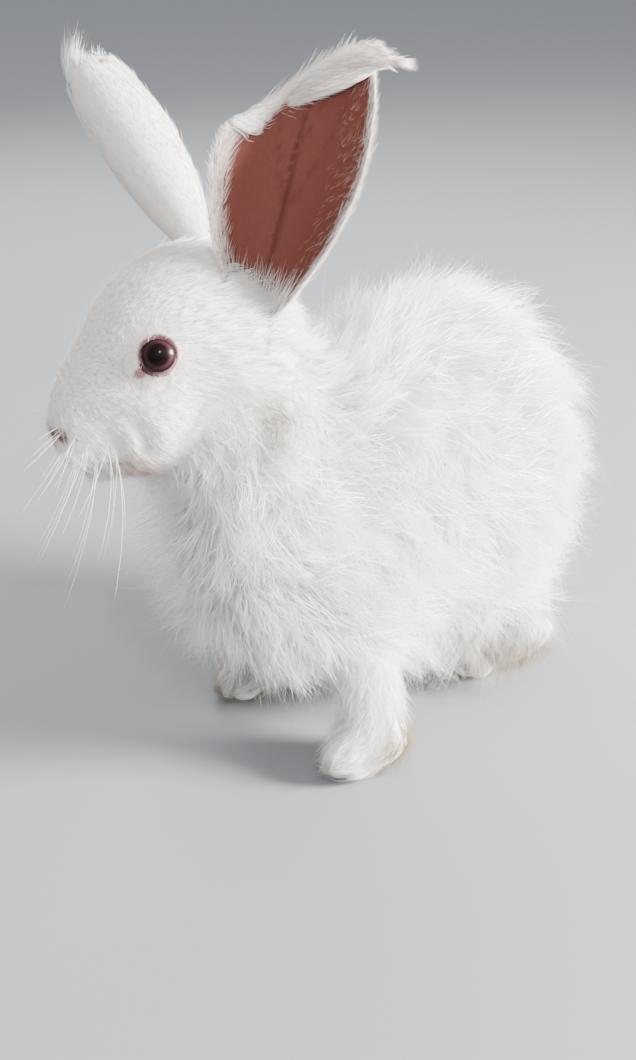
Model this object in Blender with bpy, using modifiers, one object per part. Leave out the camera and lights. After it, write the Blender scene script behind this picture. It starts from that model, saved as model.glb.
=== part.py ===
"""Angora rabbit, life size, still: it crouches with its head up and its ears raised.

The frame has X forward, Y to the rabbit's left and Z up.
The floor is at zero, and the middle of the whole outline is over the origin.
Sizes are written in millimetres and turned into metres by mm().
Every soft form is a blend of rounded forms, and the long coat is locks set on a core.
"""
import math
import random

import bmesh
import bpy
import numpy as np
from mathutils import Matrix, Vector


def mm(*values):
    """Millimetres as metres: one number, or a point."""
    return values[0] * 0.001 if len(values) == 1 else np.array(values) * 0.001


GAP = mm(0.3)
UP = np.array((0.0, 0.0, 1.0))

# The outline of the long coat, out to the tips of its locks: each form's centre, its radii,
# and how far under the tips the core ends there
COAT = (
    (mm(-12, 0, 109), mm(86, 72, 84), mm(17)),
    (mm(-38, 0, 99), mm(57, 66, 93), mm(16)),
    (mm(60, 2, 93), mm(54, 62, 71), mm(16)),
    (mm(70, -2, 137), mm(45, 50, 51), mm(12)),
    (mm(42, 38, 76), mm(36, 32, 44), mm(11)),
    (mm(46, -30, 76), mm(36, 32, 48), mm(11)),
    (mm(-30, 26, 64), mm(42, 32, 48), mm(12)),
    (mm(-30, -26, 64), mm(42, 32, 48), mm(12)),
    (mm(12, 14, 56), mm(44, 36, 44), mm(12)),
    (mm(12, -14, 56), mm(44, 36, 44), mm(12)),
)
COAT_MELT = mm(18)
CORE_DEPTH = mm(16)

# Locks of the long coat
LOCK_SEED = 11
LOCK_LENGTH = mm(50)
LOCK_WIDTH = mm(24)
LOCK_THICK = mm(5)
LOCK_ROOT = mm(7)
LOCK_SPACING = mm(20.8)
LOCK_STEPS = (0.0, 0.36, 0.7)
LOCK_SHAPE = (0.85, 1.0, 0.68)

# The head's own axes: u towards the nose, v to its left, w up, from between the eyes
HEAD_PLACE = mm(114, -8, 189)
HEAD_TURN = math.radians(-17)
# Each form of the head: its place, radii, dip in degrees, and how far it melts into the rest
SKULL = (
    ((-14, 0, 3), mm(41, 29, 34), 24, mm(12)),
    ((1, 0, -30), mm(29, 27, 27), 30, mm(12)),
    ((19, 0, -28), mm(26, 18, 22), 38, mm(12)),
    ((13, 0, -10), mm(28, 15, 17), 46, mm(12)),
    ((-38, 0, -4), mm(26, 27, 27), 0, mm(12)),
    ((28, 8, -38), mm(13, 9, 10), 30, mm(4)),
    ((28, -8, -38), mm(13, 9, 10), 30, mm(4)),
    ((20, 0, -50), mm(12, 9, 8), 20, mm(4)),
)

EYE_RADIUS = mm(8.8)
EYE_AT = (0.0, 20.5, 0.0)
LID_RADIUS = mm(8.2)
LID_THICK = mm(1.9)
MOUTH_GROOVE = mm(0.9)
NOSTRIL_RADII = mm(1.2, 2.6, 1.1)

# Whiskers on each side of the muzzle: each one's root on the head, its way out and its length
WHISKERS = (
    ((38, 10.5, -31), (0.44, 0.80, -0.02), mm(32)),
    ((34, 13.5, -33), (0.34, 0.85, -0.16), mm(41)),
    ((29, 17, -34), (0.19, 0.88, -0.30), mm(50)),
    ((22, 20, -35), (0.04, 0.88, -0.42), mm(54)),
    ((37, 11, -37), (0.45, 0.62, -0.36), mm(35)),
    ((32, 14, -40), (0.32, 0.60, -0.60), mm(44)),
    ((26, 17, -41), (0.16, 0.60, -0.74), mm(54)),
    ((19, 20, -41), (-0.04, 0.62, -0.78), mm(58)),
)
WHISKER_BEND = (0.24, -0.16, -0.24)
WHISKER_STEPS = (-0.04, 0.35, 0.7)
WHISKER_RADIUS = mm(0.45)
WHISKER_THIN = mm(0.12)

# Ears: a cupped leaf of one thickness, with its tip turned over. The root is on the head's own
# axes, in millimetres. The left cup opens towards the front left and the right one backward.
EAR_THICK = mm(3.2)
FOLD_RADIUS = mm(3.6)
EAR_ROWS = 19
EAR_COLUMNS = 7
EARS = (
    ("ear_left", dict(
        root=(-38, 15, 0), axis=(-0.24, 0.02, 0.97), facing=(0.63, 0.766, 0.125),
        length=mm(134), half_width=mm(27.5), lean=mm(15), curl_root=75, curl_tip=40,
        fold_at=mm(99), fold_slant=0.75, fold_angle=150)),
    ("ear_right", dict(
        root=(-33, -13, 18), axis=(0.28, -0.5, 0.75), facing=(-0.55, -0.74, 0.0),
        length=mm(124), half_width=mm(15.5), lean=0.0, curl_root=88, curl_tip=70,
        fold_at=mm(98), fold_slant=0.0, fold_angle=150)),
)

# Each leg: the middle of its foot, and where its top is held in the trunk
FORE_LEGS = (
    ("foreleg_left", mm(48, 61, 0), mm(44, 38, 62)),
    ("foreleg_right", mm(53, -20, 0), mm(50, -28, 62)),
)
HIND_LEGS = (
    ("hindleg_left", mm(-57, 28, 0), mm(-48, 22, 44)),
    ("hindleg_right", mm(-57, -28, 0), mm(-48, -22, 44)),
)
LEG_MELT = mm(8)

TAIL_CENTRE = mm(-93, 0, 52)
TAIL_RADII = mm(24, 22, 26)
TAIL_CORE_DEPTH = mm(7)

# The cone that parts neck from trunk, opening backward along the lie of the coat
NECK_APEX = mm(54, -2, 144)
NECK_FORWARD = (0.742, -0.041, 0.67)
NECK_HALF_ANGLE = math.radians(68)

COAT_WHITE = (0.86, 0.84, 0.80, 1.0)
FACE_WHITE = (0.88, 0.85, 0.80, 1.0)
EAR_PINK = (0.72, 0.52, 0.47, 1.0)
EYE_RED = (0.22, 0.02, 0.03, 1.0)
FOOT_CREAM = (0.80, 0.70, 0.52, 1.0)


def head_point(u, v, w):
    """A point given along the head's own axes, in millimetres."""
    forward = np.array((math.cos(HEAD_TURN), math.sin(HEAD_TURN), 0.0))
    left = np.array((-math.sin(HEAD_TURN), math.cos(HEAD_TURN), 0.0))
    return HEAD_PLACE + mm(u) * forward + mm(v) * left + mm(w) * UP


def unit(vector):
    return np.asarray(vector, float) / np.linalg.norm(vector)


class Blob:
    """An ellipsoid whose long axis is dipped, then turned about the vertical."""

    def __init__(self, centre, radii, melt=mm(1), dip=0.0, turn=0.0):
        self.centre = np.array(centre)
        self.radii = np.array(radii)
        self.melt = melt
        self.axes = Matrix.Rotation(turn, 3, "Z") @ Matrix.Rotation(math.radians(dip), 3, "Y")

    def distance(self, points):
        local = (points - self.centre) @ np.array(self.axes)
        near = np.linalg.norm(local / self.radii, axis=-1)
        far = np.linalg.norm(local / self.radii ** 2, axis=-1) + 1e-9
        return near * (near - 1.0) / far

    def add_to(self, cage):
        place = Matrix.Translation(self.centre) @ self.axes.to_4x4() @ Matrix.Diagonal((*self.radii, 1.0))
        bmesh.ops.create_icosphere(cage, subdivisions=3, radius=1.0, matrix=place)


class Limb:
    """A straight round length from one end's radius to the other's."""

    def __init__(self, start, end, start_radius, end_radius, melt):
        self.melt = melt
        self.start = np.array(start)
        self.end = np.array(end)
        self.radii = (start_radius, end_radius)

    def distance(self, points):
        run = self.end - self.start
        along = np.clip((points - self.start) @ run / (run @ run), 0.0, 1.0)
        radius = self.radii[0] + (self.radii[1] - self.radii[0]) * along
        return np.linalg.norm(points - self.start - along[..., None] * run, axis=-1) - radius

    def add_to(self, cage):
        for step in np.linspace(0.0, 1.0, 6):
            centre = self.start + (self.end - self.start) * step
            radius = self.radii[0] + (self.radii[1] - self.radii[0]) * step
            place = Matrix.Translation(centre)
            bmesh.ops.create_icosphere(cage, subdivisions=3, radius=radius, matrix=place)


def blended(forms, points):
    """The distance to several forms that melt into one another."""
    total = forms[0].distance(points)
    for form in forms[1:]:
        other = form.distance(points)
        mix = np.clip(0.5 + 0.5 * (total - other) / form.melt, 0.0, 1.0)
        total = other * mix + total * (1.0 - mix) - form.melt * mix * (1.0 - mix)
    return total


def slope(forms, points):
    """The outward direction of the blended surface at each point."""
    step = mm(0.4)
    result = np.zeros_like(points)
    for axis in range(3):
        shift = np.zeros(3)
        shift[axis] = step
        ahead = blended(forms, points + shift)
        behind = blended(forms, points - shift)
        result[:, axis] = ahead - behind
    return result / (np.linalg.norm(result, axis=1, keepdims=True) + 1e-12)


def vertices_of(mesh):
    flat = np.empty(len(mesh.vertices) * 3)
    mesh.vertices.foreach_get("co", flat)
    return flat.reshape(-1, 3)


def set_vertices(mesh, points):
    mesh.vertices.foreach_set("co", np.asarray(points, float).ravel())
    mesh.update()


def applied(item):
    """Turn the object's modifiers into its mesh."""
    graph = bpy.context.evaluated_depsgraph_get()
    mesh = bpy.data.meshes.new_from_object(item.evaluated_get(graph))
    item.modifiers.clear()
    old = item.data
    item.data = mesh
    bpy.data.meshes.remove(old)
    return item


def new_object(name, cage, collection):
    mesh = bpy.data.meshes.new(name)
    cage.to_mesh(mesh)
    cage.free()
    item = bpy.data.objects.new(name, mesh)
    collection.objects.link(item)
    return item


def tapered(name, rings, tip, collection):
    """A closed form of three sides through its rings of corners, from a flat root to a tip."""
    cage = bmesh.new()
    rings = [[cage.verts.new(corner) for corner in ring] for ring in rings]
    tip = cage.verts.new(tip)
    cage.faces.new(rings[0])
    for ring, following in zip(rings, rings[1:]):
        for side in range(3):
            after = (side + 1) % 3
            cage.faces.new((ring[side], following[side], following[after], ring[after]))
    for side in range(3):
        cage.faces.new((rings[-1][side], tip, rings[-1][(side + 1) % 3]))
    bmesh.ops.triangulate(cage, faces=cage.faces)
    bmesh.ops.recalc_face_normals(cage, faces=cage.faces)
    return new_object(name, cage, collection)


def settle(mesh, forms, rounds, evening):
    """Even out a mesh and lay its points on the blended surface."""
    edges = np.empty(len(mesh.edges) * 2, int)
    mesh.edges.foreach_get("vertices", edges)
    edges = edges.reshape(-1, 2)
    points = vertices_of(mesh)
    for _ in range(rounds):
        total = np.zeros_like(points)
        count = np.zeros(len(points))
        for here, there in ((0, 1), (1, 0)):
            np.add.at(total, edges[:, here], points[edges[:, there]])
            np.add.at(count, edges[:, here], 1.0)
        points = (1.0 - evening) * points + evening * total / count[:, None]
        for _ in range(3):
            points = points - blended(forms, points)[:, None] * slope(forms, points)
    set_vertices(mesh, points)


def soft_body(name, forms, voxel, faces, collection):
    """One closed mesh over several rounded forms."""
    cage = bmesh.new()
    for form in forms:
        form.add_to(cage)
    item = new_object(name, cage, collection)
    remesh = item.modifiers.new("join", "REMESH")
    remesh.mode = "VOXEL"
    remesh.voxel_size = voxel
    applied(item)
    settle(item.data, forms, 6, 0.5)
    item.data.calc_loop_triangles()
    thin = item.modifiers.new("thin", "DECIMATE")
    thin.ratio = min(1.0, faces / len(item.data.loop_triangles))
    applied(item)
    settle(item.data, forms, 1, 0.15)
    return item


def swollen(item, collection):
    """A copy of a smooth piece, larger by the gap, to cut its neighbours clear of it."""
    mesh = item.data.copy()
    normals = np.array([vert.normal for vert in mesh.vertices])
    set_vertices(mesh, vertices_of(mesh) + normals * GAP * 1.2)
    copy = bpy.data.objects.new(item.name + "_clear", mesh)
    collection.objects.link(copy)
    return copy


def is_closed(mesh):
    cage = bmesh.new()
    cage.from_mesh(mesh)
    closed = len(cage.faces) > 0 and all(edge.is_manifold for edge in cage.edges)
    cage.free()
    return closed


def combine(target, kind, other):
    """Join a mesh with another object or collection, or cut or trim it by one.

    The exact solver goes first. Where it leaves a torn mesh, the manifold one does the step.
    """
    before = target.data.copy()
    for solver in ("EXACT", "MANIFOLD"):
        target.data = before.copy()
        change = target.modifiers.new("combine", "BOOLEAN")
        change.operation = kind
        change.solver = solver
        if isinstance(other, bpy.types.Collection):
            change.operand_type = "COLLECTION"
            change.collection = other
        else:
            change.object = other
        applied(target)
        if is_closed(target.data):
            break
    bpy.data.meshes.remove(before)


def keep_largest(item):
    """Drop every closed surface of the mesh but the largest."""
    cage = bmesh.new()
    cage.from_mesh(item.data)
    bmesh.ops.remove_doubles(cage, verts=cage.verts, dist=mm(0.02))
    bmesh.ops.dissolve_degenerate(cage, edges=cage.edges, dist=mm(0.02))
    bmesh.ops.triangulate(cage, faces=cage.faces)
    groups = []
    unseen = set(cage.faces)
    while unseen:
        group = []
        front = [unseen.pop()]
        while front:
            face = front.pop()
            group.append(face)
            for edge in face.edges:
                for near in edge.link_faces:
                    if near in unseen:
                        unseen.remove(near)
                        front.append(near)
        groups.append(group)
    groups.sort(key=len)
    scraps = [face for group in groups[:-1] for face in group]
    bmesh.ops.delete(cage, geom=scraps, context="FACES")
    loose = [vert for vert in cage.verts if not vert.link_faces]
    bmesh.ops.delete(cage, geom=loose, context="VERTS")
    cage.to_mesh(item.data)
    cage.free()
    item.data.update()


def discard(items):
    for item in items:
        bpy.data.objects.remove(item)


def box(name, low, high, collection):
    cage = bmesh.new()
    centre = Vector((np.array(low) + np.array(high)) / 2)
    size = np.array(high) - np.array(low)
    bmesh.ops.create_cube(cage, size=1.0, matrix=Matrix.Translation(centre) @ Matrix.Diagonal((*size, 1.0)))
    return new_object(name, cage, collection)


def head_forms():
    return [Blob(head_point(*at), radii, melt, dip, HEAD_TURN) for at, radii, dip, melt in SKULL]


def coat_outline():
    return [Blob(centre, radii, COAT_MELT) for centre, radii, _ in COAT]


def coat_core():
    return [Blob(centre, radii - depth, COAT_MELT) for centre, radii, depth in COAT]


def eye_places():
    return [head_point(EYE_AT[0], side * EYE_AT[1], EYE_AT[2]) for side in (1, -1)]


def make_eyes(collection):
    eyes = []
    for name, place in zip(("eye_left", "eye_right"), eye_places()):
        cage = bmesh.new()
        bmesh.ops.create_uvsphere(cage, u_segments=14, v_segments=9, radius=EYE_RADIUS)
        bmesh.ops.triangulate(cage, faces=cage.faces)
        eye = new_object(name, cage, collection)
        eye.location = place
        eyes.append(eye)
    return eyes


def on_head(point, forms):
    """The nearest point of the head's surface, and the way out of it there."""
    point = np.array(point)[None]
    for _ in range(8):
        point = point - blended(forms, point)[:, None] * slope(forms, point)
    return point[0], slope(forms, point)[0]


def facing_matrix(place, out):
    return Matrix.Translation(place) @ Vector(out).to_track_quat("Z", "Y").to_matrix().to_4x4()


def groove(name, points, radius, collection):
    """A thin tube through the points, as a closed mesh, to press a line into a surface."""
    curve = bpy.data.curves.new(name, "CURVE")
    curve.dimensions = "3D"
    curve.bevel_depth = radius
    curve.bevel_resolution = 1
    curve.use_fill_caps = True
    spline = curve.splines.new("POLY")
    spline.points.add(len(points) - 1)
    for knot, point in zip(spline.points, points):
        knot.co = (*point, 1.0)
    tube = bpy.data.objects.new(name, curve)
    collection.objects.link(tube)
    graph = bpy.context.evaluated_depsgraph_get()
    mesh = bpy.data.meshes.new_from_object(tube.evaluated_get(graph))
    bpy.data.objects.remove(tube)
    cage = bmesh.new()
    cage.from_mesh(mesh)
    bmesh.ops.remove_doubles(cage, verts=cage.verts, dist=mm(0.01))
    bpy.data.meshes.remove(mesh)
    return new_object(name, cage, collection)


def cut_mouth(head, forms, cutters):
    """The line of the mouth, the cleft above it and the two nostrils."""
    sweep = [math.radians(angle) for angle in range(-75, 76, 15)]
    lips = [(12 + 21 * math.cos(turn), 15 * math.sin(turn), -47.5 + 3 * abs(math.sin(turn)))
            for turn in sweep]
    cleft = [(40, 0, -36), (39, 0, -40), (37, 0, -44), (33, 0, -48)]
    for name, route in (("lip_line", lips), ("cleft", cleft)):
        points = [on_head(head_point(*knot), forms)[0] for knot in route]
        tube = groove(name, points, MOUTH_GROOVE, cutters)
        combine(head, "DIFFERENCE", tube)
        discard((tube,))
    for side in (1, -1):
        place, out = on_head(head_point(41, 3.6 * side, -32), forms)
        cage = bmesh.new()
        turn = facing_matrix(place, out) @ Matrix.Rotation(math.radians(-35 * side), 4, "Z")
        size = Matrix.Diagonal((*NOSTRIL_RADII, 1.0))
        bmesh.ops.create_uvsphere(cage, u_segments=8, v_segments=6, radius=1.0, matrix=turn @ size)
        nostril = new_object("nostril", cage, cutters)
        combine(head, "DIFFERENCE", nostril)
        discard((nostril,))


def add_whisker(name, side, whisker, forms, collection):
    """A spine of three sides from its sunk root to its tip, bent forward and down."""
    root, way, length = whisker
    start = on_head(head_point(root[0], side * root[1], root[2]), forms)[0]
    way = unit(head_point(way[0], side * way[1], way[2]) - HEAD_PLACE)
    bend = (head_point(WHISKER_BEND[0], side * WHISKER_BEND[1], WHISKER_BEND[2]) - HEAD_PLACE) / mm(1)
    across = unit(np.cross(way, UP))
    rise = np.cross(across, way)
    rings = []
    for step in WHISKER_STEPS:
        middle = start + way * length * step + bend * length * step * abs(step)
        radius = WHISKER_RADIUS - WHISKER_THIN * max(step, 0.0)
        turns = [math.radians(angle) for angle in (90, 210, 330)]
        rings.append([middle + radius * (across * math.cos(turn) + rise * math.sin(turn))
                      for turn in turns])
    tapered(name, rings, start + (way + bend) * length, collection)


def make_head(collection, cutters):
    forms = head_forms()
    head = soft_body("head", forms, mm(4), 1700, collection)
    head_clear = swollen(head, cutters)
    for place in eye_places():
        surface, out = on_head(place, forms)
        bpy.ops.mesh.primitive_torus_add(
            major_radius=LID_RADIUS, minor_radius=LID_THICK, major_segments=18, minor_segments=6)
        lid = bpy.context.object
        lid.matrix_world = facing_matrix(surface, out)
        combine(head, "UNION", lid)
        cage = bmesh.new()
        bmesh.ops.create_uvsphere(cage, u_segments=14, v_segments=9, radius=EYE_RADIUS + GAP)
        socket = new_object("eye_socket", cage, cutters)
        socket.location = place
        combine(head, "DIFFERENCE", socket)
        discard((lid, socket))
    cut_mouth(head, forms, cutters)
    keep_largest(head)
    spines = lock_collection("whiskers")
    for side in (1, -1):
        for index, whisker in enumerate(WHISKERS):
            add_whisker("whisker_%d_%d" % (side, index), side, whisker, forms, spines)
    fuse_locks(head, spines)
    keep_largest(head)
    return head, head_clear


def ear_point(along, across, ear):
    """A point of the ear's leaf: along from root to tip, across from edge to edge.

    The leaf is cupped across, leans aside near its tip, and is turned over beyond a slanted line.
    """
    rise = min(max(along, 0.0) ** 1.1, 1.0)
    half = max(ear["half_width"] * math.sin(math.pi * rise) ** 0.8, mm(1.6), mm(9) * (1.0 - 3.0 * along))
    curl = math.radians(ear["curl_root"] + (ear["curl_tip"] - ear["curl_root"]) * max(along, 0.0))
    radius = half / math.sin(min(curl, math.pi / 2))
    side = radius * math.sin(across * curl) + ear["lean"] * max(along, 0.0) ** 3
    height = radius * (1.0 - math.cos(across * curl))
    length = along * ear["length"]
    steep = math.hypot(1.0, ear["fold_slant"])
    past = (length - ear["fold_at"] - ear["fold_slant"] * side) / steep
    if past > 0.0:
        bend = min(past / FOLD_RADIUS, math.radians(ear["fold_angle"]))
        flap = past - FOLD_RADIUS * bend
        shift = FOLD_RADIUS * math.sin(bend) + flap * math.cos(bend) - height * math.sin(bend) - past
        height = FOLD_RADIUS * (1.0 - math.cos(bend)) + flap * math.sin(bend) + height * math.cos(bend)
        length += shift / steep
        side -= shift * ear["fold_slant"] / steep
    return ear["root"] + ear["axis"] * length + ear["side"] * side + ear["facing"] * height


def ear_shape(root, axis, facing, **form):
    """An ear's sizes, with the three directions of its own frame made square."""
    axis = unit(axis)
    facing = unit(np.array(facing) - axis * (np.array(facing) @ axis))
    return dict(root=head_point(*root), axis=axis, facing=facing, side=np.cross(axis, facing), **form)


def make_ear(name, ear, head_clear, collection):
    cage = bmesh.new()
    bmesh.ops.create_grid(cage, x_segments=EAR_COLUMNS, y_segments=EAR_ROWS, size=1.0)
    for vert in cage.verts:
        vert.co = Vector(ear_point((vert.co.y + 1.0) / 2.0, vert.co.x, ear))
    item = new_object(name, cage, collection)
    shell = item.modifiers.new("thick", "SOLIDIFY")
    shell.thickness = EAR_THICK
    shell.offset = 0.0
    applied(item)
    combine(item, "DIFFERENCE", head_clear)
    keep_largest(item)
    return item


def fore_forms(foot, top):
    """A short forefoot under a straight foreleg."""
    shank = Limb(foot + mm(0, 0, 16), top, mm(15), mm(18), LEG_MELT)
    return [shank, Blob(foot + mm(6, 0, 10), mm(23, 14, 13), LEG_MELT)]


def hind_forms(foot, top):
    """A long hind foot, flat on the floor, under a short shank."""
    shank = Limb(foot + mm(-4, 0, 16), top, mm(13), mm(18), LEG_MELT)
    return [shank, Blob(foot + mm(2, 0, 10), mm(34, 14.5, 13.5), LEG_MELT)]


def make_leg(name, forms, collection, cutters):
    leg = soft_body(name, forms, mm(5), 380, collection)
    leg_clear = swollen(leg, cutters)
    trim_floor(leg, 0.0, cutters)
    keep_largest(leg)
    return leg, leg_clear


def trim_floor(item, level, cutters):
    """Cut a piece off flat at a level."""
    floor = box("floor_cut", mm(-300, -300, -60), mm(300, 300, 0) + level * UP, cutters)
    combine(item, "DIFFERENCE", floor)
    discard((floor,))


def scattered(mesh, spacing, draw):
    """Places spread evenly over a mesh, none nearer to another than the spacing."""
    places = [np.array(face.center) for face in mesh.polygons]
    draw.shuffle(places)
    chosen = []
    for place in places:
        if all(np.linalg.norm(place - other) > spacing for other in chosen):
            chosen.append(place)
    return chosen


def coat_lie(out, place):
    """The way the hair lies at a place: back along the body and down, more down in front and behind."""
    flow = np.array((-0.75, 0.10 * np.sign(place[1]), -0.62))
    along = flow - out * (flow @ out)
    if np.linalg.norm(along) < 0.15:
        along = -UP + out * out[2]
    return unit(along)


def add_lock(name, place, outline, depth, draw, collection, scale=1.0):
    """One flat, tapered lock that rises from the core and bends over along the lie of the coat.

    Every section is laid between the core and the outline, and the tip reaches the outline.
    """
    out = slope(outline, place[None])[0]
    lie = coat_lie(out, place)
    across = np.cross(out, lie)
    lie = unit(lie + across * draw.uniform(-0.4, 0.4))
    across = unit(np.cross(out, lie))
    length = LOCK_LENGTH * scale * draw.uniform(0.82, 1.2)
    width = LOCK_WIDTH * scale * draw.uniform(0.85, 1.2)
    thick = LOCK_THICK * min(1.0, 1.2 * scale)
    sway = length * draw.uniform(-0.16, 0.16)
    reach = mm(draw.uniform(-1.0, 4.0))
    knots = []
    for step in (*LOCK_STEPS, 1.0):
        point = place + lie * length * step + across * sway * math.sin(math.pi * step)
        level = -depth * (1.0 - step) ** 1.6 + reach * step
        for _ in range(4):
            gap = blended(outline, point[None])[0] - level
            point = point - gap * slope(outline, point[None])[0]
        knots.append(point)
    start = place - out * LOCK_ROOT - lie * LOCK_ROOT * 0.5
    centres = [start] + knots[1:-1]
    rings = []
    for index, centre in enumerate(centres):
        ahead = (centres + [knots[-1]])[index + 1]
        up = unit(np.cross(ahead - centre, across))
        up = up if up @ out > 0 else -up
        side = across * width * LOCK_SHAPE[index] / 2.0
        rings.append((centre + side, centre + up * thick * LOCK_SHAPE[index], centre - side))
    tapered(name, rings, knots[-1], collection)


def fuse_locks(core, locks):
    """Join every lock of a collection to its core, and remove the collection's objects."""
    combine(core, "UNION", locks)
    discard(list(locks.objects))
    bpy.data.collections.remove(locks)


def behind_cone(place):
    """Whether a place is in the trunk, behind the cone that parts it from the neck."""
    back = -unit(NECK_FORWARD)
    arm = place - NECK_APEX
    along = arm @ back
    aside = np.linalg.norm(arm - along * back)
    return along > 0.0 and aside < along * math.tan(NECK_HALF_ANGLE)


def lock_collection(name):
    locks = bpy.data.collections.new(name)
    bpy.context.scene.collection.children.link(locks)
    return locks


def make_coat(collection, cutters, clears):
    """Neck and trunk: one core parted by the cone, each half with its own locks."""
    draw = random.Random(LOCK_SEED)
    outline = coat_outline()
    torso = soft_body("torso", coat_core(), mm(8), 1700, collection)
    places = scattered(torso.data, LOCK_SPACING, draw)
    neck = torso.copy()
    neck.name = "neck"
    neck.data = torso.data.copy()
    collection.objects.link(neck)
    locks = {"torso": lock_collection("torso_locks"), "neck": lock_collection("neck_locks")}
    head = head_forms()
    for index, place in enumerate(places):
        owner = "torso" if behind_cone(place) else "neck"
        if blended(head, place[None])[0] < mm(-1) or place[2] < mm(16):
            continue
        add_lock("lock_%d" % index, place, outline, CORE_DEPTH, draw, locks[owner])
    fuse_locks(torso, locks["torso"])
    fuse_locks(neck, locks["neck"])
    inner = neck_cone(GAP / 2, cutters)
    outer = neck_cone(-GAP / 2, cutters)
    combine(torso, "INTERSECT", inner)
    combine(neck, "DIFFERENCE", outer)
    discard((inner, outer))
    for piece in (torso, neck):
        trim_floor(piece, mm(3), cutters)
        for clear in clears:
            combine(piece, "DIFFERENCE", clear)
        keep_largest(piece)
    return torso, neck


def make_tail(collection, cutters):
    """A small tail: a core with its own short locks, kept inside its outline."""
    draw = random.Random(LOCK_SEED + 1)
    outline = [Blob(TAIL_CENTRE, TAIL_RADII)]
    whole = soft_body("tail_outline", outline, mm(5), 300, cutters)
    tail = soft_body("tail", [Blob(TAIL_CENTRE, TAIL_RADII - TAIL_CORE_DEPTH)], mm(4), 200, collection)
    locks = lock_collection("tail_locks")
    for index, place in enumerate(scattered(tail.data, mm(13), draw)):
        if place[0] < TAIL_CENTRE[0] + mm(2):
            add_lock("tail_lock_%d" % index, place, outline, TAIL_CORE_DEPTH, draw, locks, 0.5)
    fuse_locks(tail, locks)
    combine(tail, "INTERSECT", whole)
    keep_largest(tail)
    tail_clear = swollen(whole, cutters)
    discard((whole,))
    return tail, tail_clear


def paint(item, colour, roughness):
    material = bpy.data.materials.new(item.name + "_finish")
    material.use_nodes = True
    shader = material.node_tree.nodes["Principled BSDF"]
    shader.inputs["Base Color"].default_value = colour
    shader.inputs["Roughness"].default_value = roughness
    shader.inputs["Metallic"].default_value = 0.0
    item.data.materials.clear()
    item.data.materials.append(material)


def neck_cone(clearance, collection):
    """The cone that parts the coat: the trunk is inside it, and the neck in front of it."""
    backward = -unit(NECK_FORWARD)
    depth = mm(320)
    apex = NECK_APEX + backward * clearance
    cage = bmesh.new()
    base = depth * math.tan(NECK_HALF_ANGLE)
    bmesh.ops.create_cone(cage, cap_ends=True, segments=40, radius1=base, radius2=0.0, depth=depth)
    cone = new_object("neck_cone", cage, collection)
    cone.matrix_world = facing_matrix(apex + backward * depth / 2, -backward)
    return cone


def stand_over_origin(collection):
    """Hang every piece on one empty that puts the middle of the outline over the origin."""
    bpy.context.view_layer.update()
    corners = []
    for item in collection.objects:
        corners += [item.matrix_world @ vert.co for vert in item.data.vertices]
    corners = np.array(corners)
    low = corners.min(axis=0)
    high = corners.max(axis=0)
    place = bpy.data.objects.new("rabbit_place", None)
    collection.objects.link(place)
    place.location = (-(low[0] + high[0]) / 2.0, -(low[1] + high[1]) / 2.0, -low[2])
    for item in collection.objects:
        if item is not place:
            item.parent = place


def build():
    for item in list(bpy.data.objects):
        bpy.data.objects.remove(item)
    rabbit = bpy.data.collections.new("angora_rabbit")
    cutters = bpy.data.collections.new("cutters")
    bpy.context.scene.collection.children.link(rabbit)
    bpy.context.scene.collection.children.link(cutters)

    eyes = make_eyes(rabbit)
    head, head_clear = make_head(rabbit, cutters)
    ears = []
    for name, form in EARS:
        ears.append(make_ear(name, ear_shape(**form), head_clear, rabbit))

    legs = []
    clears = [head_clear] + [swollen(ear, cutters) for ear in ears]
    for pair, shape in ((FORE_LEGS, fore_forms), (HIND_LEGS, hind_forms)):
        for name, foot, top in pair:
            leg, leg_clear = make_leg(name, shape(foot, top), rabbit, cutters)
            legs.append(leg)
            clears.append(leg_clear)
    tail, tail_clear = make_tail(rabbit, cutters)
    clears.append(tail_clear)
    torso, neck = make_coat(rabbit, cutters, clears)
    discard(clears)

    stand_over_origin(rabbit)
    for item in eyes:
        paint(item, EYE_RED, 0.08)
    for item in ears:
        paint(item, EAR_PINK, 0.7)
    for item in legs:
        paint(item, FOOT_CREAM, 0.9)
    paint(head, FACE_WHITE, 0.85)
    for item in (torso, neck, tail):
        paint(item, COAT_WHITE, 0.9)


build()
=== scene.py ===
"""Looks of the angora rabbit: skin, coat, ears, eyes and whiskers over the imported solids.

Everything is worked out in the rabbit's own axes, as in the part: X forward, Y to its left, Z up.
The floor is at zero there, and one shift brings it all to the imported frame.
Sizes are in millimetres and turned into metres by mm().
"""

import math

import bmesh
import bpy
import numpy as np
from mathutils import Matrix, Vector
from mathutils.bvhtree import BVHTree
from mathutils.kdtree import KDTree


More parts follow.
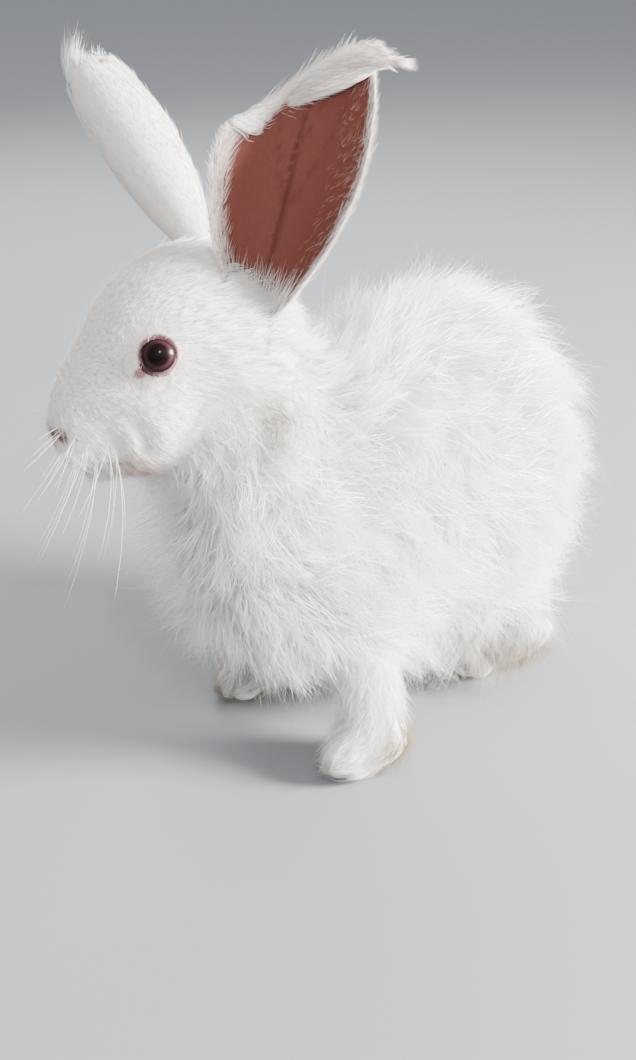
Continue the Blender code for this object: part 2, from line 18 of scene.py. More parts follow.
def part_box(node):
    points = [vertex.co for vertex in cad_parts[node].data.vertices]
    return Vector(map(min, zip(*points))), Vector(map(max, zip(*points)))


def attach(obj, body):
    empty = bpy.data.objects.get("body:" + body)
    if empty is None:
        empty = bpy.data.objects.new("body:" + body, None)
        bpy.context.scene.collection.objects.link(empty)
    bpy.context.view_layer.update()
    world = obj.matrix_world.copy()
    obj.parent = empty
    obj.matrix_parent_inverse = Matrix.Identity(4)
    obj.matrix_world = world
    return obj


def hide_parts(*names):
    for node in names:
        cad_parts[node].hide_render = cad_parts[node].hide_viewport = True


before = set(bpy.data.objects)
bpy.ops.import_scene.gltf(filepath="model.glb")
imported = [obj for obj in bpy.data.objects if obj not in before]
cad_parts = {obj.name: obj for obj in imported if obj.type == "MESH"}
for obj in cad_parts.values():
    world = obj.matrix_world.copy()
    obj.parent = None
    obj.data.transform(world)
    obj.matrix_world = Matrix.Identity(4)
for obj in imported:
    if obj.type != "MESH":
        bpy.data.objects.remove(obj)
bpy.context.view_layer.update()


def mm(*values):
    """Millimetres as metres: one number, or a point."""
    return values[0] * 0.001 if len(values) == 1 else np.array(values) * 0.001


SEED = 20
UP = np.array((0.0, 0.0, 1.0))

# The long coat's outline, and how far under it the skin lies, as in the part
COAT = (
    (mm(-12, 0, 109), mm(86, 72, 84), mm(17)),
    (mm(-38, 0, 99), mm(57, 66, 93), mm(16)),
    (mm(60, 2, 93), mm(54, 62, 71), mm(16)),
    (mm(70, -2, 137), mm(45, 50, 51), mm(12)),
    (mm(42, 38, 76), mm(36, 32, 44), mm(11)),
    (mm(46, -30, 76), mm(36, 32, 48), mm(11)),
    (mm(-30, 26, 64), mm(42, 32, 48), mm(12)),
    (mm(-30, -26, 64), mm(42, 32, 48), mm(12)),
    (mm(12, 14, 56), mm(44, 36, 44), mm(12)),
    (mm(12, -14, 56), mm(44, 36, 44), mm(12)),
)
COAT_MELT = mm(18)

# The head's own axes: u towards the nose, v to its left, w up, from between the eyes
HEAD_PLACE = mm(114, -8, 189)
HEAD_TURN = math.radians(-17)
SKULL = (
    ((-14, 0, 3), mm(41, 29, 34), 24, mm(12)),
    ((1, 0, -30), mm(29, 27, 27), 30, mm(12)),
    ((19, 0, -28), mm(26, 18, 22), 38, mm(12)),
    ((13, 0, -10), mm(28, 15, 17), 46, mm(12)),
    ((-38, 0, -4), mm(26, 27, 27), 0, mm(12)),
    ((28, 8, -38), mm(13, 9, 10), 30, mm(4)),
    ((28, -8, -38), mm(13, 9, 10), 30, mm(4)),
    ((20, 0, -50), mm(12, 9, 8), 20, mm(4)),
)
HEAD_DEPTH = mm(1.8)

EYE_RADIUS = mm(8.8)
EYE_AT = (0.0, 20.5, 0.0)
GAZE = (0.19, 0.92, 0.33)
LID_RADIUS = mm(7.1)
LID_THICK = mm(0.5)
LID_RISE = mm(5.5)
EYE_FRONT = mm(6)
CORNER_RADIUS = mm(1.5)

# Whiskers on each side of the muzzle, as in the part: root, way out and length
WHISKERS = (
    ((38, 10.5, -31), (0.44, 0.80, -0.02), mm(32)),
    ((34, 13.5, -33), (0.34, 0.85, -0.16), mm(41)),
    ((29, 17, -34), (0.19, 0.88, -0.30), mm(50)),
    ((22, 20, -35), (0.04, 0.88, -0.42), mm(54)),
    ((37, 11, -37), (0.45, 0.62, -0.36), mm(35)),
    ((32, 14, -40), (0.32, 0.60, -0.60), mm(44)),
    ((26, 17, -41), (0.16, 0.60, -0.74), mm(54)),
    ((19, 20, -41), (-0.04, 0.62, -0.78), mm(58)),
)
WHISKER_BEND = (0.24, -0.16, -0.24)

FOLD_RADIUS = mm(3.6)
EARS = {
    "ear_left": dict(
        root=(-38, 15, 0), axis=(-0.24, 0.02, 0.97), facing=(0.63, 0.766, 0.125),
        length=mm(134), half_width=mm(27.5), lean=mm(15), curl_root=75, curl_tip=40,
        fold_at=mm(99), fold_slant=0.75, fold_angle=150),
    "ear_right": dict(
        root=(-33, -13, 18), axis=(0.28, -0.5, 0.75), facing=(-0.55, -0.74, 0.0),
        length=mm(124), half_width=mm(15.5), lean=0.0, curl_root=88, curl_tip=70,
        fold_at=mm(98), fold_slant=0.0, fold_angle=150),
}
EAR_THICK = mm(2.2)

FORE_LEGS = (
    (mm(48, 61, 0), mm(44, 38, 62)),
    (mm(53, -20, 0), mm(50, -28, 62)),
)
HIND_LEGS = (
    (mm(-57, 28, 0), mm(-48, 22, 44)),
    (mm(-57, -28, 0), mm(-48, -22, 44)),
)
LEG_MELT = mm(8)
LEG_DEPTH = mm(3)

TAIL_CENTRE = mm(-93, 0, 52)
TAIL_RADII = mm(24, 22, 26)
TAIL_DEPTH = mm(7)


def unit(vector):
    vector = np.asarray(vector, float)
    return vector / (np.linalg.norm(vector, axis=-1, keepdims=True) + 1e-12)


HEAD_FORWARD = np.array((math.cos(HEAD_TURN), math.sin(HEAD_TURN), 0.0))
HEAD_LEFT = np.array((-math.sin(HEAD_TURN), math.cos(HEAD_TURN), 0.0))


def head_point(u, v, w):
    """A point given along the head's own axes, in millimetres."""
    return HEAD_PLACE + mm(u) * HEAD_FORWARD + mm(v) * HEAD_LEFT + mm(w) * UP


def head_way(u, v, w):
    """A direction given along the head's own axes."""
    return unit(u * HEAD_FORWARD + v * HEAD_LEFT + w * UP)


def to_head(points):
    """Points along the head's own axes, in millimetres."""
    arm = (points - HEAD_PLACE) * 1000.0
    return np.stack((arm @ HEAD_FORWARD, arm @ HEAD_LEFT, arm @ UP), axis=-1)


def smooth(low, high, value):
    """Nought below low, one above high, and an even turn between."""
    t = np.clip((value - low) / (high - low), 0.0, 1.0)
    return t * t * (3.0 - 2.0 * t)


class Blob:
    """An ellipsoid whose long axis is dipped, then turned about the vertical."""

    def __init__(self, centre, radii, melt=mm(1), dip=0.0, turn=0.0):
        self.centre = np.array(centre)
        self.radii = np.array(radii)
        self.melt = melt
        self.axes = Matrix.Rotation(turn, 3, "Z") @ Matrix.Rotation(math.radians(dip), 3, "Y")

    def distance(self, points):
        local = (points - self.centre) @ np.array(self.axes)
        near = np.linalg.norm(local / self.radii, axis=-1)
        far = np.linalg.norm(local / self.radii ** 2, axis=-1) + 1e-9
        return near * (near - 1.0) / far

    def add_to(self, cage):
        place = Matrix.Translation(self.centre) @ self.axes.to_4x4() @ Matrix.Diagonal((*self.radii, 1.0))
        bmesh.ops.create_icosphere(cage, subdivisions=4, radius=1.0, matrix=place)


class Limb:
    """A straight round length from one end's radius to the other's."""

    def __init__(self, start, end, start_radius, end_radius, melt):
        self.melt = melt
        self.start = np.array(start)
        self.end = np.array(end)
        self.radii = (start_radius, end_radius)

    def distance(self, points):
        run = self.end - self.start
        along = np.clip((points - self.start) @ run / (run @ run), 0.0, 1.0)
        radius = self.radii[0] + (self.radii[1] - self.radii[0]) * along
        return np.linalg.norm(points - self.start - along[..., None] * run, axis=-1) - radius

    def add_to(self, cage):
        for step in np.linspace(0.0, 1.0, 6):
            centre = self.start + (self.end - self.start) * step
            radius = self.radii[0] + (self.radii[1] - self.radii[0]) * step
            bmesh.ops.create_icosphere(cage, subdivisions=3, radius=radius, matrix=Matrix.Translation(centre))


def melted(total, other, melt):
    """The smaller of two distances, rounded where they meet."""
    mix = np.clip(0.5 + 0.5 * (total - other) / melt, 0.0, 1.0)
    return other * mix + total * (1.0 - mix) - melt * mix * (1.0 - mix)


def blended(forms, points):
    """The distance to several forms that melt into one another."""
    total = forms[0].distance(points)
    for form in forms[1:]:
        total = melted(total, form.distance(points), form.melt)
    return total


def slope(field, points):
    """The way out of a distance field at each point."""
    step = mm(0.3)
    result = np.zeros_like(points)
    for axis in range(3):
        shift = np.zeros(3)
        shift[axis] = step
        result[:, axis] = field(points + shift) - field(points - shift)
    return unit(result)


def fore_forms(foot, top):
    """A short forefoot under a straight foreleg."""
    shank = Limb(foot + mm(0, 0, 16), top, mm(15), mm(18), LEG_MELT)
    return [shank, Blob(foot + mm(6, 0, 10), mm(23, 14, 13), LEG_MELT)]


def hind_forms(foot, top):
    """A long hind foot, flat on the floor, under a short shank."""
    shank = Limb(foot + mm(-4, 0, 16), top, mm(13), mm(18), LEG_MELT)
    return [shank, Blob(foot + mm(2, 0, 10), mm(34, 14.5, 13.5), LEG_MELT)]


def toes(foot, reach, half, radius):
    """Four toes across the front of a foot, for the skin alone."""
    found = []
    for place in (-1.0, -0.36, 0.36, 1.0):
        ahead = reach - 5.0 * place * place
        found.append(Blob(foot + mm(ahead, half * place, 6.5), mm(8, radius, 6), mm(2.5)))
    return found


HEAD = [Blob(head_point(*at), radii, melt, dip, HEAD_TURN) for at, radii, dip, melt in SKULL]
OUTLINE = [Blob(centre, radii, COAT_MELT) for centre, radii, _ in COAT]
CORE = [Blob(centre, radii - depth, COAT_MELT) for centre, radii, depth in COAT]
LEGS = [fore_forms(*leg) for leg in FORE_LEGS] + [hind_forms(*leg) for leg in HIND_LEGS]
TOES = [toes(foot, 21.0, 8.0, 4.6) for foot, _ in FORE_LEGS]
TOES += [toes(foot, 28.0, 8.0, 5.0) for foot, _ in HIND_LEGS]
TAIL = Blob(TAIL_CENTRE, TAIL_RADII)
EYES = [head_point(EYE_AT[0], side * EYE_AT[1], EYE_AT[2]) for side in (1, -1)]
GAZES = [head_way(GAZE[0], side * GAZE[1], GAZE[2]) for side in (1, -1)]


def row_shift():
    """From the rabbit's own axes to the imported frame, read from the left eye's box."""
    low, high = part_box("eye_left")
    return (np.array(low) + np.array(high)) / 2.0 - EYES[0]


SHIFT = row_shift()


def cut_in(total, other, melt):
    """A distance with another form pressed out of it, rounded at the rim."""
    return -melted(-total, other, melt)


def creased(points):
    """The furred head with the folds behind its whisker pads."""
    total = blended(HEAD, points)
    near = np.abs(total) < mm(25)
    if near.any():
        part = total[near]
        for fold in FOLDS:
            part = cut_in(part, tube(points[near], fold, mm(1.7)), mm(3.8))
        total[near] = part
    return total


def outer(points):
    """The distance to the rabbit's outline, out to the tips of its coat."""
    total = melted(blended(OUTLINE, points), creased(points), mm(5))
    for leg in LEGS:
        total = melted(total, blended(leg, points), mm(5))
    return melted(total, TAIL.distance(points), mm(5))


def tube(points, knots, radius):
    """The distance to a round line through knots."""
    best = np.full(len(points), 1.0)
    for start, end in zip(knots, knots[1:]):
        run = end - start
        along = np.clip((points - start) @ run / (run @ run), 0.0, 1.0)
        best = np.minimum(best, np.linalg.norm(points - start - along[:, None] * run, axis=1))
    return best - radius


def on_head(u, v, w):
    """The point of the furred head nearest to one given on the head's axes."""
    point = head_point(u, v, w)[None]
    field = lambda where: blended(HEAD, where) + HEAD_DEPTH
    for _ in range(8):
        point = point - field(point)[:, None] * slope(field, point)
    return point[0]


SWEEP = [math.radians(angle) for angle in range(-75, 76, 15)]
LIPS = [on_head(12 + 21 * math.cos(turn), 15 * math.sin(turn), -47.5 + 3 * abs(math.sin(turn)))
        for turn in SWEEP]
CLEFT = [on_head(*place) for place in ((41.5, 0, -33.5), (40, 0, -37), (38, 0, -42), (34, 0, -47.5))]
NOSTRIL_PATH = ((41.0, 0.8, -35.5), (40.5, 4.0, -34.2), (39.0, 7.5, -33.2), (37.6, 10.5, -33.6))
NOSTRILS = [[on_head(u, side * v, w) for u, v, w in NOSTRIL_PATH] for side in (1, -1)]
FOLD_PATHS = (
    ((29.0, 18.0, -22.5), (24.5, 20.5, -25.5), (20.0, 22.0, -30.5), (17.0, 22.4, -37.5), (15.0, 20.5, -46.0)),
    ((21.0, 22.0, -21.0), (13.0, 24.5, -23.5), (8.0, 25.0, -30.0), (6.0, 24.0, -38.0)),
)
EYE_CORNERS = [[head_point(4.6, side * 25.6, -3.0), head_point(8.6, side * 23.4, -6.2)] for side in (1, -1)]
FOLDS = [[head_point(u, side * v, w) for u, v, w in path] for path in FOLD_PATHS for side in (1, -1)]


def beside_eye(points, eye, gaze, ahead=0.0):
    """How far points lie along an eye's gaze from a place ahead of its middle, and how far beside it."""
    arm = points - eye - gaze * ahead
    rise = arm @ gaze
    return rise, np.linalg.norm(arm - rise[:, None] * gaze, axis=1)


def from_lids(points, eye, gaze):
    """The way from the front of an eye to each point, and how far it is."""
    arm = points - eye - gaze * EYE_FRONT
    return arm, np.linalg.norm(arm, axis=1)


def face(points):
    """The distance to the head's skin, with its lids, nostrils and the line of the mouth."""
    total = creased(points) + HEAD_DEPTH
    for eye, gaze in zip(EYES, GAZES):
        rise, aside = beside_eye(points, eye, gaze, LID_RISE)
        ring = np.hypot(aside - LID_RADIUS, rise * 0.8) - LID_THICK
        total = melted(total, ring, mm(1.8))
        total = cut_in(total, np.linalg.norm(points - eye, axis=1) - EYE_RADIUS - mm(0.05), mm(0.5))
    for corner in EYE_CORNERS:
        total = melted(total, tube(points, corner, CORNER_RADIUS), mm(1.2))
    total = cut_in(total, tube(points, LIPS, mm(0.8)), mm(1.6))
    total = cut_in(total, tube(points, CLEFT, mm(0.6)), mm(1.4))
    for nostril in NOSTRILS:
        total = cut_in(total, tube(points, nostril, mm(0.9)), mm(0.9))
    return total


def flesh(points):
    """The distance to the skin all over."""
    total = melted(blended(CORE, points), face(points), mm(5))
    for leg, own_toes in zip(LEGS, TOES):
        foot = blended(leg, points) + LEG_DEPTH
        for toe in own_toes:
            foot = melted(foot, toe.distance(points) + mm(1.2), toe.melt)
        total = melted(total, foot, mm(5))
    total = melted(total, TAIL.distance(points) + TAIL_DEPTH, mm(5))
    return np.maximum(total, mm(0.4) - points[:, 2])


def vertices_of(mesh):
    flat = np.empty(len(mesh.vertices) * 3, np.float32)
    mesh.vertices.foreach_get("co", flat)
    return flat.reshape(-1, 3).astype(float)


def set_vertices(mesh, points):
    mesh.vertices.foreach_set("co", np.asarray(points, np.float32).ravel())
    mesh.update()


def applied(item):
    """Turn the object's modifiers into its mesh."""
    graph = bpy.context.evaluated_depsgraph_get()
    mesh = bpy.data.meshes.new_from_object(item.evaluated_get(graph))
    item.modifiers.clear()
    item.data = mesh
    return item


def shade_smooth(mesh):
    mesh.polygons.foreach_set("use_smooth", np.ones(len(mesh.polygons), bool))


def new_object(name, mesh):
    item = bpy.data.objects.new(name, mesh)
    bpy.context.scene.collection.objects.link(item)
    return item


def from_cage(name, cage):
    mesh = bpy.data.meshes.new(name)
    cage.to_mesh(mesh)
    cage.free()
    return new_object(name, mesh)


def neighbour_mean(mesh, points):
    edges = np.empty(len(mesh.edges) * 2, int)
    mesh.edges.foreach_get("vertices", edges)
    edges = edges.reshape(-1, 2)
    total = np.zeros_like(points)
    count = np.zeros(len(points))
    for here, there in ((0, 1), (1, 0)):
        np.add.at(total, edges[:, here], points[edges[:, there]])
        np.add.at(count, edges[:, here], 1.0)
    return total / count[:, None]


def lay_on(mesh, field, rounds, evening):
    """Even out a mesh and lay its points on a distance field's surface."""
    points = vertices_of(mesh)
    for _ in range(rounds):
        points = points + evening * (neighbour_mean(mesh, points) - points)
        for _ in range(2):
            points = points - field(points)[:, None] * slope(field, points)
    set_vertices(mesh, points)


def finer(item, wanted):
    """Cut the edges whose middle is wanted once more."""
    cage = bmesh.new()
    cage.from_mesh(item.data)
    middles = np.array([(edge.verts[0].co + edge.verts[1].co) / 2 for edge in cage.edges])
    picked = wanted(middles)
    edges = [edge for edge, take in zip(cage.edges, picked) if take]
    bmesh.ops.subdivide_edges(cage, edges=edges, cuts=1, use_grid_fill=True)
    bmesh.ops.triangulate(cage, faces=[f for f in cage.faces if len(f.verts) > 4])
    cage.to_mesh(item.data)
    cage.free()


SKIN_VOXEL = mm(2.4)


def make_skin():
    """The one skin of head, body, legs and tail."""
    cage = bmesh.new()
    for form in HEAD + CORE + [form for leg in LEGS for form in leg]:
        form.add_to(cage)
    Blob(TAIL_CENTRE, TAIL_RADII - TAIL_DEPTH).add_to(cage)
    skin = from_cage("skin", cage)
    remesh = skin.modifiers.new("join", "REMESH")
    remesh.mode = "VOXEL"
    remesh.voxel_size = SKIN_VOXEL
    applied(skin)
    lay_on(skin.data, flesh, 3, 0.4)

    def by_the_head(points):
        place = to_head(points)
        return (blended(HEAD, points) < mm(4)) & (place[:, 0] > -34)

    def by_the_features(points):
        near = np.zeros(len(points), bool)
        for eye, gaze in zip(EYES, GAZES):
            near |= from_lids(points, eye, gaze)[1] < mm(12)
        place = to_head(points)
        return near | ((place[:, 0] > 22) & (place[:, 2] < -24) & (place[:, 2] > -58))

    finer(skin, by_the_head)
    lay_on(skin.data, flesh, 1, 0.3)
    finer(skin, by_the_features)
    lay_on(skin.data, flesh, 3, 0.25)
    return skin


def ear_frame(ear):
    """An ear's sizes, with the three directions of its own frame made square."""
    made = dict(ear)
    made["axis"] = unit(ear["axis"])
    facing = np.array(ear["facing"], float)
    made["facing"] = unit(facing - made["axis"] * (facing @ made["axis"]))
    made["side"] = np.cross(made["axis"], made["facing"])
    made["root"] = head_point(*ear["root"])
    return made


EARS = {name: ear_frame(ear) for name, ear in EARS.items()}


def ear_leaf(along, across, ear):
    """Points of the ear's middle sheet: along from root to tip, across from edge to edge."""
    along, across = np.broadcast_arrays(np.asarray(along, float), np.asarray(across, float))
    rise = np.clip(along, 0.0, 1.0) ** 1.1
    half = ear["half_width"] * np.sin(math.pi * np.minimum(rise, 1.0)) ** 0.8
    half = np.maximum(half, np.maximum(mm(1.6), mm(9) * (1.0 - 3.0 * along)))
    curl = np.radians(ear["curl_root"] + (ear["curl_tip"] - ear["curl_root"]) * np.clip(along, 0.0, 1.0))
    radius = half / np.sin(np.minimum(curl, math.pi / 2))
    edge = np.abs(across) ** 5 * half / ear["half_width"]
    side = radius * np.sin(across * curl) + ear["lean"] * np.clip(along, 0.0, 1.0) ** 3
    height = radius * (1.0 - np.cos(across * curl)) + mm(0.9) * edge * np.sin(along * 31.0 + across * 2.0)
    length = along * ear["length"]
    steep = math.hypot(1.0, ear["fold_slant"])
    past = np.maximum((length - ear["fold_at"] - ear["fold_slant"] * side) / steep, 0.0)
    bend = np.minimum(past / FOLD_RADIUS, math.radians(ear["fold_angle"]))
    flap = past - FOLD_RADIUS * bend
    shift = FOLD_RADIUS * np.sin(bend) + flap * np.cos(bend) - height * np.sin(bend) - past
    height = FOLD_RADIUS * (1.0 - np.cos(bend)) + flap * np.sin(bend) + height * np.cos(bend)
    length = length + shift / steep
    side = side - shift * ear["fold_slant"] / steep
    return (ear["root"] + length[..., None] * ear["axis"] + side[..., None] * ear["side"]
            + height[..., None] * ear["facing"])


def ear_normal(along, across, ear):
    """The way out of the cup's inner face."""
    step = 0.004
    up = ear_leaf(along + step, across, ear) - ear_leaf(along - step, across, ear)
    left, right = np.clip(across + step, -1, 1), np.clip(across - step, -1, 1)
    over = ear_leaf(along, left, ear) - ear_leaf(along, right, ear)
    return unit(np.cross(up, over)) * -1.0


def ear_grid(rows, columns):
    """Places along and across a leaf, in even rows and columns."""
    return np.meshgrid(np.linspace(0.0, 1.0, rows), np.linspace(-1.0, 1.0, columns), indexing="ij")


EAR_ROWS = 96
EAR_COLUMNS = 41


def make_ear_skin(name, ear):
    """One ear as a closed leaf, thinner towards its edges."""
    along, across = ear_grid(EAR_ROWS, EAR_COLUMNS)
    middle = ear_leaf(along, across, ear)
    out = ear_normal(along, across, ear)
    thick = EAR_THICK * (1.0 - 0.5 * across ** 2) * (1.0 - 0.3 * along) / 2.0
    inner = middle + out * thick[..., None]
    outer_face = middle - out * thick[..., None]
    points = np.concatenate((inner.reshape(-1, 3), outer_face.reshape(-1, 3)))
    size = EAR_ROWS * EAR_COLUMNS
    ids = np.arange(size).reshape(EAR_ROWS, EAR_COLUMNS)
    faces = []
    for row in range(EAR_ROWS - 1):
        for column in range(EAR_COLUMNS - 1):
            quad = (ids[row, column], ids[row, column + 1], ids[row + 1, column + 1], ids[row + 1, column])
            faces.append(quad)
            faces.append(tuple(corner + size for corner in reversed(quad)))
    rim = list(ids[0, :]) + list(ids[1:, -1]) + list(ids[-1, -2::-1]) + list(ids[-2:0:-1, 0])
    for here, there in zip(rim, rim[1:] + rim[:1]):
        faces.append((there, here, here + size, there + size))
    mesh = bpy.data.meshes.new(name)
    mesh.from_pydata([tuple(point) for point in points], [], [tuple(int(c) for c in f) for f in faces])
    mesh.update()
    item = new_object(name, mesh)
    cage = bmesh.new()
    cage.from_mesh(mesh)
    bmesh.ops.recalc_face_normals(cage, faces=cage.faces)
    cage.to_mesh(mesh)
    cage.free()
    return item


def unite(target, other):
    change = target.modifiers.new("unite", "BOOLEAN")
    change.operation = "UNION"
    change.solver = "MANIFOLD"
    change.object = other
    applied(target)
    bpy.data.objects.remove(other)


def quick_unwrap(item):
    """An unwrap of the skin's own shape, which the coat's patches are placed by."""
    mesh = item.data
    while mesh.uv_layers:
        mesh.uv_layers.remove(mesh.uv_layers[0])
    mesh.uv_layers.new(name="OFBake")
    bpy.ops.object.select_all(action="DESELECT")
    item.select_set(True)
    bpy.context.view_layer.objects.active = item
    bpy.ops.object.mode_set(mode="EDIT")
    bpy.ops.mesh.select_all(action="SELECT")
    bpy.ops.uv.smart_project(angle_limit=math.radians(66), island_margin=0.004)
    bpy.ops.object.mode_set(mode="OBJECT")


class SkinMap:
    """Finds where on the skin's unwrap a root stands."""

    def __init__(self, item):
        mesh = item.data
        mesh.calc_loop_triangles()
        self.points = vertices_of(mesh)
        self.corners = np.empty(len(mesh.loop_triangles) * 3, np.int32)
        mesh.loop_triangles.foreach_get("vertices", self.corners)
        self.corners = self.corners.reshape(-1, 3)
        loops = np.empty(len(mesh.loop_triangles) * 3, np.int32)
        mesh.loop_triangles.foreach_get("loops", loops)
        uv = np.empty(len(mesh.loops) * 2, np.float32)
        mesh.uv_layers["OFBake"].data.foreach_get("uv", uv)
        self.uv = uv.reshape(-1, 2)[loops].reshape(-1, 3, 2)
        self.tree = BVHTree.FromPolygons(self.points.tolist(), self.corners.tolist(), all_triangles=True)
        sides = self.points[self.corners]
        across = np.cross(sides[:, 1] - sides[:, 0], sides[:, 2] - sides[:, 0])
        self.area = np.linalg.norm(across, axis=1) / 2.0

    def scatter(self, count, draw):
        """Points spread over the skin by area."""
        share = np.cumsum(self.area)
        face = np.searchsorted(share, draw.random(count) * share[-1])
        face = np.minimum(face, len(self.corners) - 1)
        a, b = draw.random((2, count))
        flip = a + b > 1.0
        a[flip], b[flip] = 1.0 - a[flip], 1.0 - b[flip]
        sides = self.points[self.corners[face]]
        first = sides[:, 0]
        return first + (sides[:, 1] - first) * a[:, None] + (sides[:, 2] - first) * b[:, None]

    def place(self, roots):
        """The nearest skin's place on the unwrap, for each root."""
        found = np.zeros((len(roots), 2))
        for index, root in enumerate(roots):
            near, _, face, _ = self.tree.find_nearest(Vector(root))
            corners = self.points[self.corners[face]]
            side_a = corners[1] - corners[0]
            side_b = corners[2] - corners[0]
            arm = np.array(near) - corners[0]
            aa, ab, bb = side_a @ side_a, side_a @ side_b, side_b @ side_b
            pa, pb = arm @ side_a, arm @ side_b
            below = aa * bb - ab * ab
            if below < 1e-20:
                found[index] = self.uv[face][0]
                continue
            a = (bb * pa - ab * pb) / below
            b = (aa * pb - ab * pa) / below
            uv = self.uv[face]
            found[index] = uv[0] * (1 - a - b) + uv[1] * a + uv[2] * b
        return found


def thinned_index(points, spacing):
    """Which points of a list to keep, so that none is nearer to one kept before than the spacing."""
    tree = KDTree(len(points))
    for index, point in enumerate(points):
        tree.insert(Vector(point), index)
    tree.balance()
    spacing = np.broadcast_to(spacing, len(points))
    alive = np.ones(len(points), bool)
    kept = []
    for index, point in enumerate(points):
        if not alive[index]:
            continue
        kept.append(index)
        for _, other, _ in tree.find_range(Vector(point), float(spacing[index])):
            if other > index:
                alive[other] = False
    return np.array(kept, int)


def drift(points, size, turn):
    """A smooth random value from place to place, about as wide as size, between -1 and 1."""
    draw = np.random.default_rng(turn)
    total = np.zeros(len(points))
    for _ in range(6):
        way = unit(draw.normal(size=3)) * draw.uniform(0.7, 1.5)
        total += np.sin(points @ way * (2.0 * math.pi / size) + draw.uniform(0.0, 2.0 * math.pi))
    return total / 2.6


def flow(points, out):
    """The way the hair lies: back along the body and down, back along the head, down the legs."""
    head = blended(HEAD, points)
    body = blended(OUTLINE, points)
    place = to_head(points)
    way = np.zeros_like(points)
    way[:] = (-0.75, 0.0, -0.62)
    low = smooth(mm(85), mm(30), points[:, 2])
    way[:, 0] += 0.5 * low
    way[:, 2] -= 0.5 * low
    way[:, 1] = 0.10 * np.sign(points[:, 1])
    on_face = smooth(mm(3), mm(-3), head - np.maximum(body, mm(-6)))[:, None]
    back = -HEAD_FORWARD[None] * np.ones((len(points), 1))
    down = smooth(0, -35, place[:, 2]) * 0.45 - smooth(5, 30, place[:, 2]) * 0.15
    down = down + 1.1 * smooth(-30, -44, place[:, 2]) * smooth(6, 18, place[:, 0])
    back = back - UP * down[:, None]
    for eye, gaze in zip(EYES, GAZES):
        arm, far = from_lids(points, eye, gaze)
        push = smooth(mm(24), mm(8), far) * 1.3
        back = back + unit(arm) * push[:, None]
    way = way * (1.0 - on_face) + back * on_face
    leg = np.full(len(points), 1.0)
    for forms in LEGS:
        leg = np.minimum(leg, blended(forms, points))
    on_leg = smooth(mm(4), mm(-2), leg - np.maximum(body, mm(-8)))[:, None]
    ahead = smooth(mm(26), mm(8), points[:, 2])[:, None]
    limb = np.array((0.12, 0.0, -1.0)) * (1.0 - ahead) + np.array((0.9, 0.0, -0.35)) * ahead
    way = way * (1.0 - on_leg) + limb * on_leg
    loose = np.clip((body + mm(30)) / mm(20), 0.0, 1.0) * (1.0 - on_face[:, 0]) * (1.0 - on_leg[:, 0])
    swirl = 0.75 * drift(points, mm(75), 5) + 0.45 * drift(points, mm(30), 6)
    way = way + np.cross(out, way) * (swirl * loose)[:, None]
    way = way - out * np.sum(way * out, axis=1, keepdims=True)
    short = np.linalg.norm(way, axis=1) < 0.12
    way[short] = (-UP + out[short] * out[short][:, 2:3])
    return unit(way)


def lay_guides(roots, lengths, reach, twist, rise=1.6, steps=7, curl=0.0):
    """The middle line of each tuft: it leaves the skin, bends over and ends at its reach over the outline."""
    start = outer(roots)
    point = roots.copy()
    line = [point]
    for index in range(1, steps + 1):
        t = index / steps
        out = slope(outer, point)
        lie = flow(point, out)
        lie = unit(lie + np.cross(out, lie) * (twist + curl * (t - 0.3))[:, None])
        point = point + lie * (lengths / steps)[:, None]
        level = start * (1.0 - t) ** rise + reach * t
        for _ in range(2):
            gap = outer(point) - level
            point = point - gap[:, None] * slope(outer, point)
        line.append(point)
    return np.stack(line, axis=1)


def along_line(lines, t):
    """Points at t along many lines, t given for each line and knot, and past one it runs straight on."""
    steps = lines.shape[1] - 1
    place = t * steps
    index = np.clip(np.floor(place).astype(int), 0, steps - 1)
    part = (place - index)[..., None]
    which = np.arange(len(lines))[:, None]
    return lines[which, index] * (1.0 - part) + lines[which, index + 1] * part


# How far the coat may stand out to each side of the shared frame's middle
SIDE_LIMIT = mm(91)


